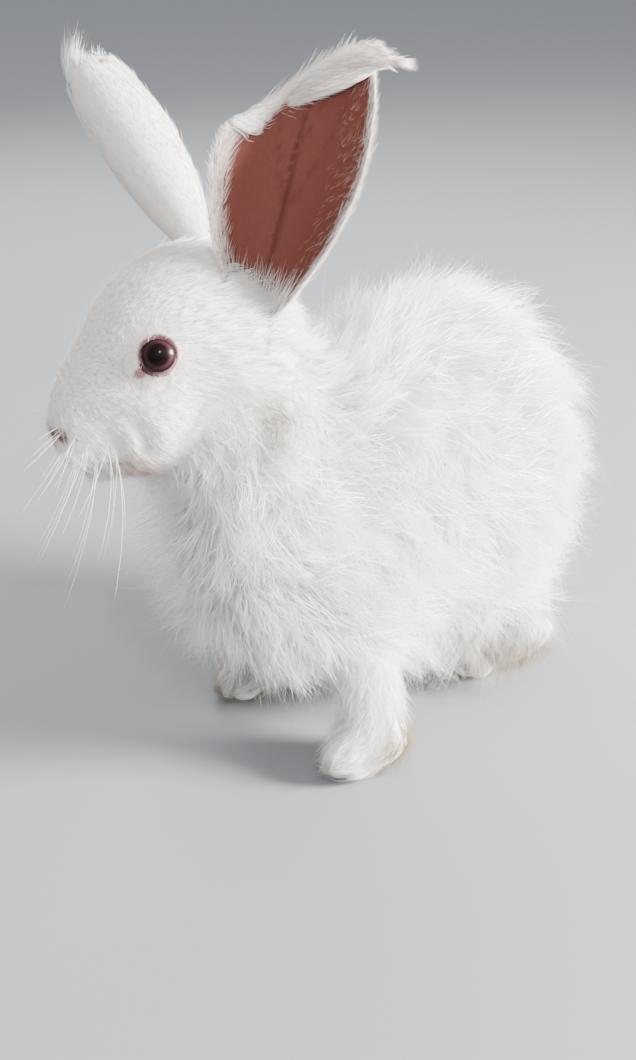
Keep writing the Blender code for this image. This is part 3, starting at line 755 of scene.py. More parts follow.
def strands(lines, each, spread, clump, wave, knots, draw, messy=mm(0.5), apart=0.35, turns=(0.8, 1.4)):
    """Hairs about each guide line, which draw together towards its tip and share its wave."""
    count = len(lines)
    start = lines[:, 1] - lines[:, 0]
    out = slope(outer, lines[:, 0])
    side = unit(np.cross(out, start))
    fore = unit(np.cross(side, out))
    owner = np.repeat(np.arange(count), each)
    total = len(owner)
    turn = draw.random(total) * 2.0 * math.pi
    far = np.sqrt(draw.random(total)) * np.broadcast_to(spread, count)[owner]
    offset = side[owner] * (far * np.cos(turn))[:, None] + fore[owner] * (far * np.sin(turn))[:, None]
    reach = draw.uniform(0.75, 1.12, total)
    t = np.array(knots)[None] * reach[:, None]
    middle = along_line(lines[owner], t)
    clump = np.broadcast_to(clump, count)[owner][:, None]
    hold = (1.0 - clump * np.minimum(t, 1.0) ** 1.2)[..., None]
    wide = np.broadcast_to(wave, count)[owner]
    apart = np.broadcast_to(apart, count)[owner]
    phase = (draw.random(count) * 2.0 * math.pi)[owner] + draw.normal(0.0, 1.0, total) * apart
    turns = draw.uniform(turns[0], turns[1], count)[owner]
    sway = wide[:, None] * t * np.sin(phase[:, None] + 2.0 * math.pi * turns[:, None] * t)
    lift = 0.6 * wide[:, None] * t * np.cos(1.3 * phase[:, None] + 2.0 * math.pi * turns[:, None] * t)
    loose = draw.normal(0.0, 1.0, (total, 3)) * np.broadcast_to(messy, count)[owner][:, None]
    loose = loose[:, None, :] * (t ** 1.5)[..., None]
    placed = middle + offset[:, None] * hold + side[owner][:, None] * sway[..., None]
    placed = placed + out[owner][:, None] * lift[..., None] + loose
    placed[..., 2] = np.maximum(placed[..., 2], mm(0.8))
    placed[..., 1] = np.clip(placed[..., 1], -SIDE_LIMIT - SHIFT[1], SIDE_LIMIT - SHIFT[1])
    return placed, out[owner], owner


# How wide a hair is at each of its rings, and half the size of its patch on the unwrap
HAIR_TAPER = {2: (1.0, 0.75), 3: (1.0, 0.95, 0.6), 4: (1.0, 1.0, 0.85, 0.55), 5: (1.0, 1.0, 0.9, 0.7, 0.4)}
PATCH_HALF = 0.0015


def hair_mesh(name, lines, up, half, tint, root_uv, material):
    """Closed three-sided hairs. lines holds the middle of each ring and, last, the tip.

    A tint is for each hair or for each of those points.
    """
    count, knots, _ = lines.shape
    rings = knots - 1
    ahead = unit(np.diff(lines, axis=1))
    side = unit(np.cross(ahead, up[:, None]))
    rise = np.cross(side, ahead)
    wide = (np.broadcast_to(half, count)[:, None] * np.array(HAIR_TAPER[rings])[None])[..., None]
    centre = lines[:, :-1]
    ring = np.stack((centre + side * wide - rise * wide * 0.3, centre + rise * wide * 0.6,
                     centre - side * wide - rise * wide * 0.3), axis=2)
    points = np.concatenate((ring.reshape(count, rings * 3, 3), lines[:, -1:]), axis=1)
    pattern = [(0, 1, 2)]
    for index in range(rings - 1):
        low = index * 3
        for corner in range(3):
            after = (corner + 1) % 3
            pattern.append((low + corner, low + 3 + corner, low + 3 + after))
            pattern.append((low + corner, low + 3 + after, low + after))
    low = (rings - 1) * 3
    tip = rings * 3
    for corner in range(3):
        pattern.append((low + corner, tip, low + (corner + 1) % 3))
    pattern = np.array(pattern, np.int32)
    stride = rings * 3 + 1
    corners = (np.arange(count, dtype=np.int32)[:, None, None] * stride + pattern[None]).reshape(-1)
    faces = len(corners) // 3
    mesh = bpy.data.meshes.new(name)
    mesh.vertices.add(count * stride)
    mesh.vertices.foreach_set("co", (points + SHIFT).astype(np.float32).ravel())
    mesh.loops.add(faces * 3)
    mesh.loops.foreach_set("vertex_index", corners)
    mesh.polygons.add(faces)
    mesh.polygons.foreach_set("loop_start", np.arange(0, faces * 3, 3, dtype=np.int32))
    mesh.update(calc_edges=True)
    shade_smooth(mesh)
    patch = np.zeros((stride, 2))
    for index in range(rings):
        patch[index * 3:index * 3 + 3, 0] = (-1.0, 0.0, 1.0)
        patch[index * 3:index * 3 + 3, 1] = -1.0 + 2.0 * index / rings
    patch[-1] = (0.0, 1.0)
    uv = (root_uv[:, None] + PATCH_HALF * patch[None]).reshape(-1, 2)
    layer = mesh.uv_layers.new(name="OFBake")
    layer.data.foreach_set("uv", uv[corners].astype(np.float32).ravel())
    colours = np.ones((count, stride, 4), np.float32)
    if tint.ndim == 2:
        colours[..., :3] = tint[:, None]
    else:
        colours[..., :3] = np.concatenate((np.repeat(tint[:, :-1], 3, axis=1), tint[:, -1:]), axis=1)
    attribute = mesh.color_attributes.new("tint", "FLOAT_COLOR", "POINT")
    attribute.data.foreach_set("color", colours.ravel())
    mesh.materials.append(material)
    return new_object(name, mesh)


# Colours of coat and stains
CREAM = np.array((0.86, 0.82, 0.76))
CUP_HAIR = np.array((0.62, 0.44, 0.36))
MARGIN = np.array((0.84, 0.71, 0.63))
WHITE = np.array((0.92, 0.91, 0.89))
STAIN = np.array((0.15, 0.088, 0.005))
BEIGE = np.array((0.10, 0.070, 0.036))
TEAR = np.array((0.13, 0.065, 0.05))
BLUSH = np.array((0.24, 0.095, 0.065))
# Each mark's middle, radius, colour and strength. It reaches further along MARK_DEPTH, deep into the coat
MARK_DEPTH = np.array((0.516, 0.736, 0.438))
MARKS = (
    (mm(84, 38, 165), mm(8), BEIGE, 0.95),
    (mm(86, 41, 157), mm(7), BEIGE, 0.6),
    (mm(89, 40, 151), mm(7), BEIGE, 0.35),
    (mm(40, 73, 8), mm(15), STAIN, 0.97),
    (mm(77, -18, 10), mm(20), STAIN, 0.6),
    (mm(-40, 38, 8), mm(24), STAIN, 0.6),
)


def over(colour, target, amount):
    """Colours with some of another laid over them."""
    return colour * (1 - amount[:, None]) + target * amount[:, None]


def coat_colour(points, draw):
    """The coat's colour at each point: white, with its stains on the feet, by the eyes and on the neck."""
    count = len(points)
    colour = np.repeat(WHITE[None], count, axis=0)
    shade = draw.normal(0.0, 0.015, count)[:, None]
    colour = colour + shade
    place = to_head(points)
    colour = over(colour, CREAM, smooth(mm(6), mm(0), blended(HEAD, points)) * 0.5)
    for index, (foot, _) in enumerate(FORE_LEGS + HIND_LEGS):
        arm = points - foot
        near = smooth(mm(44), mm(34), np.linalg.norm(arm * (1.0, 1.3, 0.6), axis=1))
        low = smooth(mm(24), mm(5), points[:, 2])
        if index < len(FORE_LEGS):
            low = smooth(mm(30), mm(12), points[:, 2]) * smooth(mm(2), mm(-9), arm[:, 0])
            low = low + 0.4 * smooth(mm(12), mm(3), points[:, 2])
        colour = over(colour, STAIN, np.clip(near * low * draw.uniform(0.75, 1.15, count), 0.0, 0.95))
    for side in (1, -1):
        for corner, wide in (((10.2, 23.0, -8.0), 3.4), ((8.0, 24.2, -10.6), 3.2)):
            arm = place - np.array(corner) * (1.0, side, 1.0)
            far = np.linalg.norm(arm * (0.8, 0.6, 1.2), axis=1)
            colour = over(colour, TEAR, smooth(wide, wide * 0.4, far) * 0.8)
        chin = np.linalg.norm((place - (10.0, side * 17.0, -49.0)) * (0.9, 0.7, 1.0), axis=1)
        colour = over(colour, BLUSH, smooth(13.0, 4.0, chin) * 0.8)
    nose = np.linalg.norm((place - (40.0, 0.0, -35.0)) * (1.0, 0.7, 1.0), axis=1)
    colour = over(colour, BLUSH, smooth(9.0, 3.0, nose) * 0.7)
    for centre, radius, mark_colour, strength in MARKS:
        arm = points - centre
        far = np.linalg.norm(arm - 0.6 * (arm @ MARK_DEPTH)[:, None] * MARK_DEPTH, axis=1)
        colour = over(colour, mark_colour, smooth(radius * 1.4, radius * 0.5, far) * strength)
    return np.clip(colour, 0.02, 0.97)


def hair_colour(hairs, draw):
    """The coat's colour at each point of each hair."""
    own = coat_colour(hairs.reshape(-1, 3), draw).reshape(hairs.shape)
    return np.clip(own + draw.normal(0.0, 0.010, (len(hairs), 1, 1)), 0.02, 0.97)


def new_material(name, **inputs):
    """A material and its main shader, whose inputs are named with underscores for spaces."""
    material = bpy.data.materials.new(name)
    material.use_nodes = True
    shader = material.node_tree.nodes["Principled BSDF"]
    for key, value in inputs.items():
        shader.inputs[key.replace("_", " ")].default_value = value
    return material, material.node_tree, shader


def node(tree, kind, inputs=None, **values):
    """A new node, with its own values and those of its inputs."""
    made = tree.nodes.new(kind)
    for key, value in values.items():
        setattr(made, key, value)
    for key, value in (inputs or {}).items():
        made.inputs[key].default_value = value
    return made


def mottled(tree, shader, scale, detail, darkest, palest):
    """The tint that each vertex carries, broken up by noise, as a shader's base colour."""
    tint = node(tree, "ShaderNodeVertexColor", layer_name="tint")
    noise = node(tree, "ShaderNodeTexNoise", {"Scale": scale, "Detail": detail})
    ramp = node(tree, "ShaderNodeMapRange", {"To Min": darkest, "To Max": palest})
    scaled = node(tree, "ShaderNodeVectorMath", operation="SCALE")
    tree.links.new(noise.outputs["Fac"], ramp.inputs["Value"])
    tree.links.new(tint.outputs["Color"], scaled.inputs[0])
    tree.links.new(ramp.outputs["Result"], scaled.inputs["Scale"])
    tree.links.new(scaled.outputs["Vector"], shader.inputs["Base Color"])


def coat_material():
    """Pale hair: its colour from the tint that it carries, broken up finely, with a soft sheen."""
    material, tree, shader = new_material(
        "coat", Roughness=0.62, Specular_IOR_Level=0.3, Sheen_Weight=0.1, Sheen_Roughness=0.5,
        Subsurface_Weight=0.25, Subsurface_Radius=(1.0, 0.95, 0.9), Subsurface_Scale=0.0003)
    mottled(tree, shader, 260.0, 2.0, 0.93, 1.06)
    return material


def skin_material():
    """Skin under the coat, bare on the lids, nose, lips and the cup of the ear."""
    material, tree, shader = new_material(
        "skin", Roughness=0.6, Specular_IOR_Level=0.05, Subsurface_Weight=0.1,
        Subsurface_Radius=(0.004, 0.0015, 0.001), Subsurface_Scale=1.0)
    mottled(tree, shader, 140.0, 4.0, 0.86, 1.1)
    fine = node(tree, "ShaderNodeTexNoise", {"Scale": 900.0, "Detail": 3.0})
    bump = node(tree, "ShaderNodeBump", {"Strength": 0.35, "Distance": 0.0006})
    tree.links.new(fine.outputs["Fac"], bump.inputs["Height"])
    tree.links.new(bump.outputs["Normal"], shader.inputs["Normal"])
    return material


def colour_ramp(tree, source, stops):
    """A ramp of colours over a value, from its stops' places and colours."""
    ramp = node(tree, "ShaderNodeValToRGB")
    elements = ramp.color_ramp.elements
    while len(elements) < len(stops):
        elements.new(0.5)
    for element, (position, colour) in zip(elements, stops):
        element.position = position
        element.color = (*colour, 1.0)
    tree.links.new(source, ramp.inputs["Fac"])
    return ramp.outputs["Color"]


def whisker_material():
    """Stiff, smooth pale hair."""
    material, tree, shader = new_material("whisker", Roughness=0.3)
    noise = node(tree, "ShaderNodeTexNoise", {"Scale": 60.0})
    stops = ((0.0, (0.80, 0.78, 0.74)), (1.0, (0.93, 0.92, 0.90)))
    tree.links.new(colour_ramp(tree, noise.outputs["Fac"], stops), shader.inputs["Base Color"])
    return material


# The eye's colours from the middle of the pupil outwards, by their share of its radius
EYE_STOPS = (
    (0.0, (0.002, 0.0002, 0.0002)),
    (0.43, (0.003, 0.0003, 0.0004)),
    (0.47, (0.012, 0.002, 0.004)),
    (0.51, (0.026, 0.007, 0.012)),
    (0.58, (0.034, 0.011, 0.017)),
    (0.64, (0.022, 0.005, 0.008)),
    (0.68, (0.007, 0.001, 0.0015)),
    (0.85, (0.04, 0.012, 0.012)),
)


def eye_material():
    """A ruby eye: dark red pupil, dusky mauve iris with fine spokes and a dark outer ring, under a wet coat."""
    material, tree, shader = new_material(
        "eye", Roughness=0.4, Specular_IOR_Level=0.05, Coat_Weight=0.4, Coat_Roughness=0.03, Coat_IOR=1.33,
        Subsurface_Weight=0.1, Subsurface_Radius=(0.003, 0.0005, 0.0005))
    join = tree.links.new

    def worked(operation, first, second):
        made = node(tree, "ShaderNodeMath", operation=operation)
        join(first, made.inputs[0])
        if isinstance(second, float):
            made.inputs[1].default_value = second
        else:
            join(second, made.inputs[1])
        return made.outputs["Value"]

    def point_at(x, y):
        made = node(tree, "ShaderNodeCombineXYZ")
        join(x, made.inputs["X"])
        join(y, made.inputs["Y"])
        return made.outputs["Vector"]

    place = node(tree, "ShaderNodeTexCoord")
    apart = node(tree, "ShaderNodeSeparateXYZ")
    join(place.outputs["Object"], apart.inputs["Vector"])
    x, y = apart.outputs["X"], apart.outputs["Y"]
    length = node(tree, "ShaderNodeVectorMath", operation="LENGTH")
    join(point_at(x, y), length.inputs[0])
    from_middle = length.outputs["Value"]
    spokes = node(tree, "ShaderNodeTexNoise", {"Scale": 1.0, "Detail": 3.0})
    turn = worked("MULTIPLY", worked("ARCTAN2", y, x), 9.0)
    join(point_at(turn, worked("MULTIPLY", from_middle, 260.0)), spokes.inputs["Vector"])
    jitter = node(tree, "ShaderNodeMapRange", {"To Min": -0.0004, "To Max": 0.0004})
    join(spokes.outputs["Fac"], jitter.inputs["Value"])
    share = node(tree, "ShaderNodeMapRange", {"From Min": 0.0, "From Max": EYE_RADIUS})
    join(worked("ADD", from_middle, jitter.outputs["Result"]), share.inputs["Value"])
    join(colour_ramp(tree, share.outputs["Result"], EYE_STOPS), shader.inputs["Base Color"])
    return material


CORNEA_RADIUS = mm(6.4)
CORNEA_RISE = mm(0.35)


def make_eye(name, place, gaze, material):
    """An eyeball with a slightly bulging cornea, its own Z along the gaze."""
    cage = bmesh.new()
    bmesh.ops.create_uvsphere(cage, u_segments=64, v_segments=48, radius=EYE_RADIUS)
    for vert in cage.verts:
        side = math.hypot(vert.co.x, vert.co.y)
        bulge = max(0.0, 1.0 - (side / CORNEA_RADIUS) ** 2) if vert.co.z > 0 else 0.0
        vert.co.z += CORNEA_RISE * bulge
    item = from_cage(name, cage)
    turned = Vector(gaze).to_track_quat("Z", "Y").to_matrix().to_4x4()
    item.matrix_world = Matrix.Translation(Vector(place + SHIFT)) @ turned
    item.data.materials.append(material)
    shade_smooth(item.data)
    return item


def area_light(name, place, target, size, power, colour=(1.0, 1.0, 1.0)):
    light = bpy.data.lights.new(name, "AREA")
    light.shape = "DISK"
    light.size = size
    light.energy = power
    light.color = colour
    item = bpy.data.objects.new(name, light)
    bpy.context.scene.collection.objects.link(item)
    item.location = place
    item.rotation_mode = "QUATERNION"
    item.rotation_quaternion = (Vector(target) - Vector(place)).to_track_quat("-Z", "Y")
    return item


CAMERA_TARGET = mm(65, 40, 110)
CAMERA_TURN = math.radians(35)
CAMERA_RISE = math.radians(26)
CAMERA_FAR = mm(600)
FOCAL_PIXELS = 1450.0
IMAGE_HIGH = 1060.0


def make_camera():
    way = np.array((math.sin(CAMERA_TURN) * math.cos(CAMERA_RISE),
                    math.cos(CAMERA_TURN) * math.cos(CAMERA_RISE), math.sin(CAMERA_RISE)))
    data = bpy.data.cameras.new("camera")
    data.sensor_width = 36.0
    data.lens = data.sensor_width * FOCAL_PIXELS / IMAGE_HIGH
    data.clip_start = 0.01
    camera = bpy.data.objects.new("camera", data)
    bpy.context.scene.collection.objects.link(camera)
    camera.location = CAMERA_TARGET + SHIFT + CAMERA_FAR * way
    camera.rotation_mode = "QUATERNION"
    camera.rotation_quaternion = Vector(-way).to_track_quat("-Z", "Y")
    bpy.context.scene.camera = camera


def catch_light():
    """A small weak lamp that leaves one bright spot high on the pupil of the near eye."""
    eye = EYES[0] + SHIFT
    camera = bpy.context.scene.camera
    seen = unit(np.array(camera.location) - eye)
    right = unit(np.cross(UP, seen))
    way = unit(seen + 0.16 * right + 0.30 * np.cross(seen, right))
    area_light("catch", tuple(eye + 0.6 * way), tuple(eye), 0.035, 3.0)


def make_stage():
    """A plain pale floor and soft light."""
    cage = bmesh.new()
    bmesh.ops.create_grid(cage, x_segments=1, y_segments=1, size=6.0)
    floor = from_cage("floor", cage)
    floor.data.materials.append(new_material("floor", Base_Color=(0.20, 0.205, 0.215, 1.0), Roughness=0.9)[0])
    world = bpy.data.worlds.new("studio")
    world.use_nodes = True
    background = world.node_tree.nodes["Background"]
    background.inputs["Color"].default_value = (0.85, 0.88, 0.93, 1.0)
    background.inputs["Strength"].default_value = 1.1
    bpy.context.scene.world = world
    area_light("key", (-0.95, 0.84, 0.50), (0.0, 0.0, 0.10), 0.45, 185.0, (1.0, 0.98, 0.95))
    area_light("back", (-0.3, -1.0, 0.9), (0.0, 0.0, 0.15), 0.8, 25.0)


def pieces_of(name, groups, lines, up, half, tint, uv, material):
    """Writes hairs as one mesh for each named group."""
    made = []
    for group, picked in groups:
        if picked.any():
            made.append(hair_mesh(name + group, lines[picked], up[picked], half[picked], tint[picked],
                                  uv[picked], material))
    return made


# How many places are tried for tufts, how far apart the long ones stand, and how many hairs stray from them
LONG_ROOTS = 32000
SHORT_ROOTS = 110000
TUFT_SPACING = mm(3.35)
STRAYS = 3600
LOCK_SHARE = 0.24
WISP_SHARE = 0.06
LEG_HAIR = mm(13)
TAIL_HAIR = mm(16)


def by_the_heel(places):
    """How near each place is to the heel of a hind foot, which the coat hangs over."""
    arm = np.stack((places[:, 0] + mm(76), np.abs(places[:, 1]) - mm(36), places[:, 2] - mm(42)), axis=1)
    return smooth(mm(42), mm(14), np.linalg.norm(arm, axis=1))


def long_coat(skin_map, material):
    """The long coat of neck and trunk: soft down, downy hair in loose tufts, small wavy locks and strays."""
    draw = np.random.default_rng(SEED)
    places = skin_map.scatter(LONG_ROOTS, draw)
    core = blended(CORE, places)
    head = blended(HEAD, places)
    legs = np.min([blended(leg, places) for leg in LEGS], axis=0)
    keep = (core < mm(1.5)) & (head > mm(1)) & (legs > mm(-2)) & (places[:, 2] > mm(8))
    places = places[keep]
    places = places[thinned_index(places, TUFT_SPACING)]
    count = len(places)
    by_head = smooth(mm(32), mm(2), blended(HEAD, places))
    rump = smooth(mm(-5), mm(-60), places[:, 0])
    low = smooth(mm(60), mm(22), places[:, 2])
    chest = smooth(mm(72), mm(20), np.linalg.norm(places - mm(86, -14, 90), axis=1))
    chest = chest * smooth(mm(-62), mm(-28), places[:, 1])
    haunch = smooth(mm(72), mm(30), places[:, 2]) * smooth(mm(8), mm(-25), places[:, 0])
    heel = by_the_heel(places)
    puff = mm(2.4) * drift(places, mm(42), 9) + mm(2.3) * drift(places, mm(21), 10)
    longer = 1.0 - 0.3 * by_head + 0.3 * rump + 0.2 * low + 0.3 * heel
    lengths = draw.uniform(mm(19), mm(30), count) * longer
    lift = puff - mm(1.5) * by_head + mm(7) * low + mm(10) * chest + mm(8) * haunch + mm(9) * heel
    reach = draw.uniform(mm(-4.5), mm(1.5), count) + lift
    wisp = draw.random(count) < WISP_SHARE
    reach[wisp] += mm(1) * draw.uniform(2.0, 6.0, wisp.sum())
    twist = draw.normal(0.0, 0.7, count) * (1.0 - 0.5 * rump)
    twist = twist + 0.9 * drift(places, mm(17), 11) * (1.0 - 0.6 * rump)
    curl = draw.normal(0.0, 1.5, count) * (1.0 - 0.4 * rump)
    lines = lay_guides(places, lengths, reach, twist, rise=1.25, curl=curl)
    place_uv = skin_map.place(places)
    lock = draw.random(count) < LOCK_SHARE
    made = []
    for name, picked, each, clump, wave, knots, messy, apart in (
            ("coat", ~lock, 14, 0.15, (1.0, 2.2), (0.0, 0.36, 0.7, 1.0), mm(3.0), 1.4),
            ("locks", lock, 12, 0.55, (1.6, 3.0), (0.0, 0.25, 0.5, 0.75, 1.0), mm(0.9), 0.3)):
        own = lines[picked]
        wave = mm(1.0) * draw.uniform(wave[0], wave[1], len(own))
        hairs, up, owner = strands(own, each, mm(4.2), clump, wave, knots, draw, messy=messy, apart=apart)
        half = draw.uniform(mm(0.045), mm(0.08), len(owner))
        made += pieces_of(name, body_groups(places[picked][owner]), hairs, up, half, hair_colour(hairs, draw),
                          place_uv[picked][owner], material)
    lines = lay_guides(places, lengths * 0.8, draw.uniform(mm(-7), mm(-4), count) + lift,
                       draw.normal(0.0, 0.6, count), rise=0.9)
    hairs, up, owner = strands(lines, 2, mm(4.0), 0.0, mm(0.8), (0.0, 0.5, 1.0), draw, messy=mm(3.0))
    half = draw.uniform(mm(0.25), mm(0.5), len(owner))
    made.append(hair_mesh("undercoat", hairs, up, half, hair_colour(hairs, draw), place_uv[owner], material))
    stray = draw.integers(0, count, STRAYS)
    reach = draw.uniform(mm(1.0), mm(8.0), len(stray)) + lift[stray]
    lines = lay_guides(places[stray], lengths[stray] * draw.uniform(0.9, 1.4, len(stray)), reach,
                       draw.normal(0.0, 0.8, len(stray)), rise=0.9, curl=draw.normal(0.0, 1.5, len(stray)))
    hairs, up, owner = strands(lines, 1, mm(3.0), 0.0, mm(1.5), (0.0, 0.36, 0.7, 1.0), draw, messy=mm(3.0))
    half = draw.uniform(mm(0.045), mm(0.07), len(owner))
    tint = hair_colour(hairs, draw)
    made.append(hair_mesh("stray_hairs", hairs, up, half, tint, place_uv[stray][owner], material))
    return made


def body_groups(places):
    """The named parts of the trunk that each root belongs to."""
    x, y, z = places.T
    front = x > mm(38)
    rear = x < mm(-45)
    middle = ~front & ~rear
    return (
        ("_neck_left", front & (y >= 0)),
        ("_neck_right", front & (y < 0)),
        ("_rump_left", rear & (y >= 0)),
        ("_rump_right", rear & (y < 0)),
        ("_back", middle & (z > mm(140))),
        ("_flank_left", middle & (z <= mm(140)) & (y >= 0)),
        ("_flank_right", middle & (z <= mm(140)) & (y < 0)),
    )


def short_coat(skin_map, material):
    """The short hair of the head, legs and tail."""
    draw = np.random.default_rng(SEED + 1)
    places = skin_map.scatter(SHORT_ROOTS, draw)
    core = blended(CORE, places)
    head = blended(HEAD, places)
    legs = np.min([blended(leg, places) for leg in LEGS], axis=0)
    tail = TAIL.distance(places)
    in_head = (head < mm(1)) & (core > mm(-2))
    in_leg = (legs < mm(0)) & (core > mm(-1))
    in_tail = (tail < mm(-3)) & (core > mm(-1))
    keep = (in_head | in_leg | in_tail) & (places[:, 2] > mm(1.2))
    for eye, gaze in zip(EYES, GAZES):
        rise, aside = beside_eye(places, eye, gaze)
        keep &= ~((aside < mm(7.0)) & (rise > 0))
    for corner in EYE_CORNERS:
        keep &= tube(places, corner, 0.0) > mm(2.0)
    keep &= tube(places, LIPS, 0.0) > mm(0.5)
    keep &= tube(places, CLEFT, 0.0) > mm(0.9)
    for nostril in NOSTRILS:
        keep &= tube(places, nostril, 0.0) > mm(1.4)
    places, core, head, tail = places[keep], core[keep], head[keep], tail[keep]
    on_head_part = head < mm(1)
    local = to_head(places)
    lengths = 3.2 + 4.5 * smooth(22, -35, local[:, 0]) + 2.0 * smooth(-12, -40, local[:, 2])
    pad = smooth(-36, -44, local[:, 2]) * smooth(6, 16, local[:, 0])
    lengths = lengths + 5.0 * pad
    crown = np.zeros(len(places))
    for ear in EARS.values():
        crown = np.maximum(crown, smooth(mm(40), mm(8), np.linalg.norm(places - ear["root"], axis=1)))
    lengths = lengths + 6.0 * crown
    for eye, gaze in zip(EYES, GAZES):
        lengths = lengths * (0.55 + 0.45 * smooth(mm(7), mm(18), from_lids(places, eye, gaze)[1]))
    for corner in EYE_CORNERS:
        lengths = lengths * (0.5 + 0.5 * smooth(mm(3), mm(9), tube(places, corner, 0.0)))
    near_coat = smooth(mm(18), mm(1), core)
    lengths = mm(1) * (lengths + 12.0 * near_coat)
    lengths = np.where(on_head_part, lengths, LEG_HAIR + mm(11) * by_the_heel(places))
    lengths = np.where(tail < mm(-3), TAIL_HAIR, lengths)
    spacing = np.where(on_head_part, mm(0.9) + 0.05 * lengths, mm(1.9))
    kept = thinned_index(places, spacing)
    places, lengths, local, near_coat = places[kept], lengths[kept], local[kept], near_coat[kept]
    crown, pad = crown[kept], pad[kept]
    is_head = on_head_part[kept]
    is_tail = tail[kept] < mm(-3)
    count = len(places)
    lengths = lengths * draw.uniform(0.8, 1.25, count)
    reach = np.where(is_head, draw.uniform(mm(-0.9), mm(0.2), count),
                     draw.uniform(mm(-1.0), mm(3.0), count) + mm(4) * by_the_heel(places))
    loose = draw.random(count) < 0.06
    lengths = lengths * (1.0 + 0.5 * loose)
    lifted = mm(2.5) * near_coat + mm(5.5) * crown ** 2 + mm(1.4) * pad + mm(2.4) * loose
    reach = reach + np.where(is_head, lifted, 0.0)
    twist = draw.normal(0.0, 1.0, count) * np.where(is_head, 0.14 + 0.2 * near_coat + 0.2 * crown, 0.35)
    lines = lay_guides(places, lengths, reach, twist, rise=1.2, steps=4)
    messy = np.where(is_head, mm(0.3) + mm(0.8) * near_coat + mm(1.2) * crown ** 2, mm(1.3))
    hairs, up, owner = strands(lines, 4, mm(1.1), 0.0, mm(0.1), (0.0, 0.5, 1.0), draw, messy=messy)
    uv = skin_map.place(places)[owner]
    half = np.where(is_head[owner], draw.uniform(mm(0.045), mm(0.08), len(owner)),
                    draw.uniform(mm(0.06), mm(0.10), len(owner)))
    x = places[owner][:, 0]
    head_part = is_head[owner]
    tail_part = is_tail[owner] & ~head_part
    right = local[owner][:, 1] < 0
    groups = (
        ("_face_left", head_part & ~right),
        ("_face_right", head_part & right),
        ("_forelegs", ~head_part & ~tail_part & (x > mm(0))),
        ("_hindlegs", ~head_part & ~tail_part & (x <= mm(0))),
        ("_tail", tail_part),
    )
    return pieces_of("coat", groups, hairs, up, half, hair_colour(hairs, draw), uv, material)


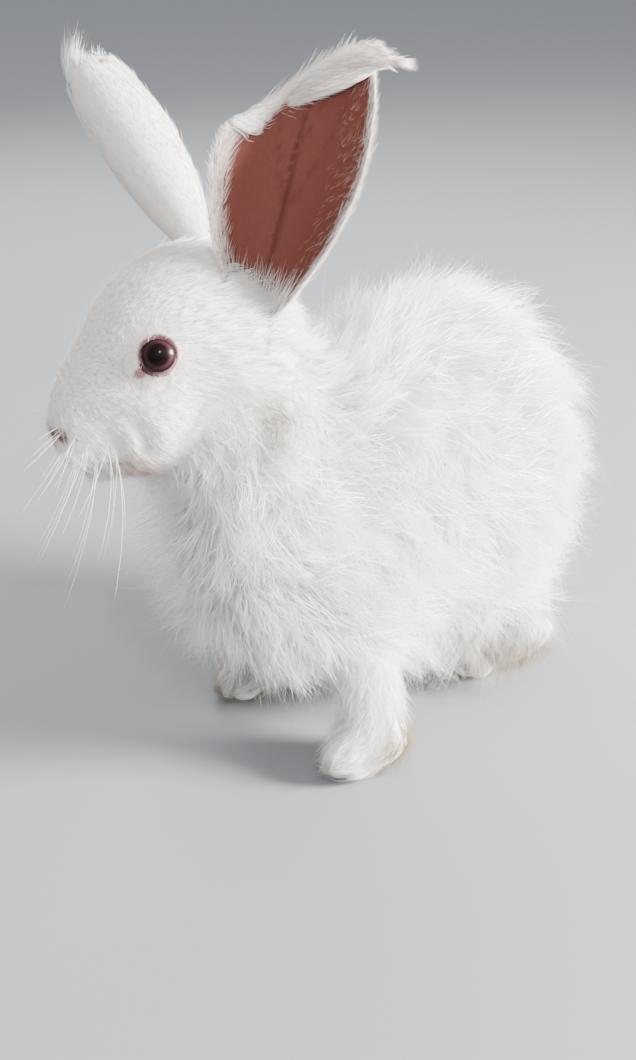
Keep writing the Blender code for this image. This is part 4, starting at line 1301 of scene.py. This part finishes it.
def ear_coat(name, ear, skin_map, material):
    """Hair of one ear: short on its back, along its edges, in the cup and in long wisps at the tip."""
    left = name == "ear_left"
    draw = np.random.default_rng(SEED + (2 if left else 3))
    sets = []

    def spread(low, high):
        return draw.uniform(low, high, count)

    def sized(low, high):
        return draw.uniform(mm(low), mm(high), count)

    def crest_at(across):
        return (ear["fold_at"] + ear["fold_slant"] * across * ear["half_width"]) / ear["length"]

    def add(along, across, side_of, lengths, turn, lift, half, tone=WHITE):
        """Hairs laid along the leaf: side_of is 1 on the cup's inner face and -1 on its back."""
        step_up = lengths / ear["length"] * np.cos(turn)
        step_over = lengths / np.maximum(ear["half_width"], mm(14)) * np.sin(turn)
        line = []
        for t in (0.0, 0.5, 1.0):
            a = along + step_up * t
            b = across + step_over * t
            out = ear_normal(np.clip(a, 0.0, 1.0), np.clip(b, -1.0, 1.0), ear) * side_of
            line.append(ear_leaf(a, b, ear) + out * (mm(0.3) + lift * lengths * t)[:, None])
        out = ear_normal(along, across, ear) * side_of
        tint = np.clip(tone[None] + draw.normal(0.0, 0.012, (len(along), 1)), 0.0, 0.97)
        sets.append((np.stack(line, axis=1), out, half, tint, line[0]))

    # Over the back
    count = 5000 if left else 6400
    add(spread(0.02, 0.98), spread(-1.0, 1.0), -1.0, sized(5, 9), draw.normal(0.0, 0.25, count),
        spread(0.03, 0.16), sized(0.08, 0.14))
    # Along both edges
    count = 2600 if left else 1400
    along = spread(0.03, 0.98)
    edge = spread(0.86, 1.0) * draw.choice((-1.0, 1.0), count)
    add(along, edge, 1.0, sized(3, 8), np.sign(edge) * spread(0.0, 1.1), spread(-0.05, 0.25),
        sized(0.05, 0.09))
    # In the cup, from the outer edge and then from the inner one
    count = 3600 if left else 500
    along = spread(0.02, 0.78)
    edge = -(1.0 - (0.24 + 0.22 * smooth(0.35, 0.05, along)) * draw.random(count) ** 0.9)
    add(along, edge, 1.0, sized(5, 11), spread(-0.35, 0.45), spread(0.02, 0.14), sized(0.045, 0.08), MARGIN)
    count = 2900 if left else 300
    along = spread(0.02, 0.8)
    edge = 1.0 - 0.62 * draw.random(count) ** 1.5
    add(along, edge, 1.0, sized(4, 8), spread(0.3, 1.1), spread(0.02, 0.12), sized(0.04, 0.07), CUP_HAIR)
    # At the root of the cup
    count = 700
    add(spread(0.0, 0.12), spread(-0.95, 0.95), 1.0, sized(8, 22), draw.normal(0.1, 0.35, count),
        spread(0.1, 0.4), sized(0.06, 0.11), CREAM)
    # Over the crest
    count = 1300 if left else 900
    across = spread(-1.0, 1.0)
    along = np.clip(crest_at(across) + spread(0.0, 0.25), 0.0, 1.0)
    add(along, across, -1.0, sized(6, 13), draw.normal(0.0, 0.4, count), spread(0.05, 0.4), sized(0.06, 0.11),
        MARGIN if left else CREAM)
    for low_end, high_end, count, lean, longest in EAR_TUFTS[name]:
        across = spread(low_end, high_end)
        along = np.clip(crest_at(across) + spread(-0.05, 0.02), 0.0, 0.98)
        way = unit(ear["axis"][None] + np.array(lean) + draw.normal(0.0, 0.12, (count, 3)))
        root = ear_leaf(along, across, ear)
        middle = 0.5 * (low_end + high_end)
        high = np.exp(-((across - middle) / (0.4 * (high_end - low_end))) ** 2)
        long = (mm(longest) * high * spread(0.35, 1.0))[:, None]
        out = -ear_normal(along, across, ear)
        line = (root, root + way * long * 0.5 + out * long * 0.08, root + way * long)
        tint = np.repeat(WHITE[None], count, axis=0)
        sets.append((np.stack(line, axis=1), out, sized(0.04, 0.08), tint, root))
    lines, up, half, tint, roots = (np.concatenate(parts) for parts in zip(*sets))
    return hair_mesh("coat_" + name, lines, up, half, tint, skin_map.place(roots), material)


# Wisps on the crest of each ear: from and to across it, how many, how they lean and the longest
EAR_TUFTS = {
    "ear_left": ((-0.7, 0.5, 460, (-0.45, 0.25, 0.0), 25), (0.7, 1.0, 110, (-1.6, 1.1, -0.8), 11)),
    "ear_right": ((-0.2, 1.0, 380, (-0.50, 0.17, 0.10), 24), (-0.9, 0.3, 120, (-0.50, 0.17, 0.10), 9)),
}
EAR_PINK = np.array((0.145, 0.048, 0.037))
EAR_VEIN = np.array((0.060, 0.017, 0.014))
LID_PINK = np.array((0.15, 0.055, 0.058))
CORNER_PINK = np.array((0.36, 0.17, 0.17))
NOSE_PINK = np.array((0.16, 0.065, 0.05))
SKIN_WHITE = np.array((0.80, 0.75, 0.70))
PAINT_COLUMNS = 60
# Where each side vein of the ear leaves the middle one, and how far it leans
VEIN_BRANCHES = ((0.30, 0.55), (0.42, -0.6), (0.55, 0.5), (0.6, -0.45))


def paint_skin(skin):
    """The skin's own colours, on its vertices."""
    points = vertices_of(skin.data)
    colour = np.repeat(SKIN_WHITE[None], len(points), axis=0)
    for eye, gaze in zip(EYES, GAZES):
        rise, aside = beside_eye(points, eye, gaze)
        lid = smooth(mm(8.6), mm(7.3), aside) * (rise > 0)
        colour = over(colour, LID_PINK, lid * 0.95)
    for corner in EYE_CORNERS:
        colour = over(colour, CORNER_PINK, smooth(mm(3.2), mm(1.7), tube(points, corner, 0.0)))
    nose = np.minimum(tube(points, NOSTRILS[0], 0.0), tube(points, NOSTRILS[1], 0.0))
    colour = over(colour, NOSE_PINK, smooth(mm(4.0), mm(1.2), nose))
    lips = np.minimum(tube(points, LIPS, 0.0), tube(points, CLEFT, 0.0))
    colour = over(colour, NOSE_PINK, smooth(mm(2.6), mm(0.8), lips) * 0.9)
    for ear in EARS.values():
        along, across = ear_grid(160, PAINT_COLUMNS)
        sheet = ear_leaf(along, across, ear)
        out = ear_normal(along, across, ear)
        tree = KDTree(sheet.size // 3)
        flat = sheet.reshape(-1, 3)
        for index, point in enumerate(flat):
            tree.insert(Vector(point), index)
        tree.balance()
        arm = points - ear["root"] - ear["axis"] * ear["length"] * 0.5
        for index in np.where(np.linalg.norm(arm, axis=1) < mm(80))[0]:
            _, found, far = tree.find(Vector(points[index]))
            row, column = divmod(found, PAINT_COLUMNS)
            a, b = along[row, column], across[row, column]
            if far > mm(1.8) or (points[index] - flat[found]) @ out[row, column] <= 0:
                continue
            vein = abs(b - 0.06 * math.sin(a * 5.0))
            dark = 0.75 * max(0.0, 1.0 - vein / 0.05) * min(1.0, a * 5.0)
            for start, lean in VEIN_BRANCHES:
                if a > start:
                    branch = abs(b - lean * (a - start) * 2.2)
                    dark = max(dark, 0.35 * max(0.0, 1.0 - branch / 0.03))
            tone = EAR_PINK * (1.0 - 0.12 * abs(b)) * (0.92 + 0.10 * a)
            colour[index] = tone * (1 - dark) + EAR_VEIN * dark
    attribute = skin.data.color_attributes.new("tint", "FLOAT_COLOR", "POINT")
    flat = np.ones((len(points), 4), np.float32)
    flat[:, :3] = colour
    attribute.data.foreach_set("color", flat.ravel())


def whiskers(material):
    """Long stiff hairs from both sides of the muzzle and over the eyes, along and between the part's own."""
    draw = np.random.default_rng(SEED + 7)
    steps = np.array((0.0, 0.2, 0.4, 0.6, 0.8, 1.0))[:, None]
    lines = []
    for side in (1.0, -1.0):
        bend = WHISKER_BEND[0] * HEAD_FORWARD + side * WHISKER_BEND[1] * HEAD_LEFT + WHISKER_BEND[2] * UP
        for index in range(26):
            root, way, length = WHISKERS[index % len(WHISKERS)]
            first = index < len(WHISKERS)
            loose = 0.0 if first else 1.0
            root = np.array(root) + draw.normal(0.0, 1.4, 3) * loose
            way = unit(np.array(way)) + draw.normal(0.0, 0.13, 3) * loose
            length = length * (1.0 if first else draw.uniform(0.45, 0.95))
            start = on_head(root[0], side * root[1], root[2])
            way = head_way(way[0], side * way[1], way[2])
            curve = bend * (1.0 if first else draw.uniform(0.6, 1.2))
            lines.append(start + way * length * steps + curve * length * steps ** 2)
        for index in range(4):
            root = on_head(2 + 3 * index, side * 18, 12)
            way = head_way(0.25, side * 0.6, 0.6 + 0.1 * index)
            length = mm(draw.uniform(16, 24))
            lines.append(root + way * length * steps - UP * length * 0.1 * steps ** 2)
    lines = np.array(lines)
    lines[..., 2] = np.maximum(lines[..., 2], mm(1))
    count = len(lines)
    up = np.repeat(UP[None], count, axis=0)
    tint = np.repeat(WHITE[None], count, axis=0)
    half = draw.uniform(mm(0.05), mm(0.10), count)
    return hair_mesh("whiskers", lines, up, half, tint, np.full((count, 2), 0.5), material)


def build():
    skin_finish = skin_material()
    coat_finish = coat_material()
    skin = make_skin()
    for name, ear in EARS.items():
        unite(skin, make_ear_skin(name + "_skin", ear))
    skin.name = "skin"
    quick_unwrap(skin)
    skin_map = SkinMap(skin)
    paint_skin(skin)
    skin.data.materials.clear()
    skin.data.materials.append(skin_finish)
    shade_smooth(skin.data)
    skin.data.transform(Matrix.Translation(Vector(SHIFT)))
    coat = long_coat(skin_map, coat_finish)
    coat += short_coat(skin_map, coat_finish)
    for name, ear in EARS.items():
        coat.append(ear_coat(name, ear, skin_map, coat_finish))
    eye_finish = eye_material()
    eyes = [make_eye(name + "_ball", place, gaze, eye_finish)
            for name, place, gaze in zip(("eye_left", "eye_right"), EYES, GAZES)]
    hairs = whiskers(whisker_material())
    for piece in [skin] + coat + eyes + [hairs]:
        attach(piece, "root")
    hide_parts("head", "neck", "torso", "tail", "ear_left", "ear_right",
                "foreleg_left", "foreleg_right", "hindleg_left", "hindleg_right")
    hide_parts("eye_left")
    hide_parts("eye_right")
    total = 0
    for piece in [skin] + coat + eyes + [hairs]:
        piece.data.calc_loop_triangles()
        total += len(piece.data.loop_triangles)
        print(piece.name, len(piece.data.loop_triangles))
    print("triangles", total)


build()
make_stage()
make_camera()
catch_light()
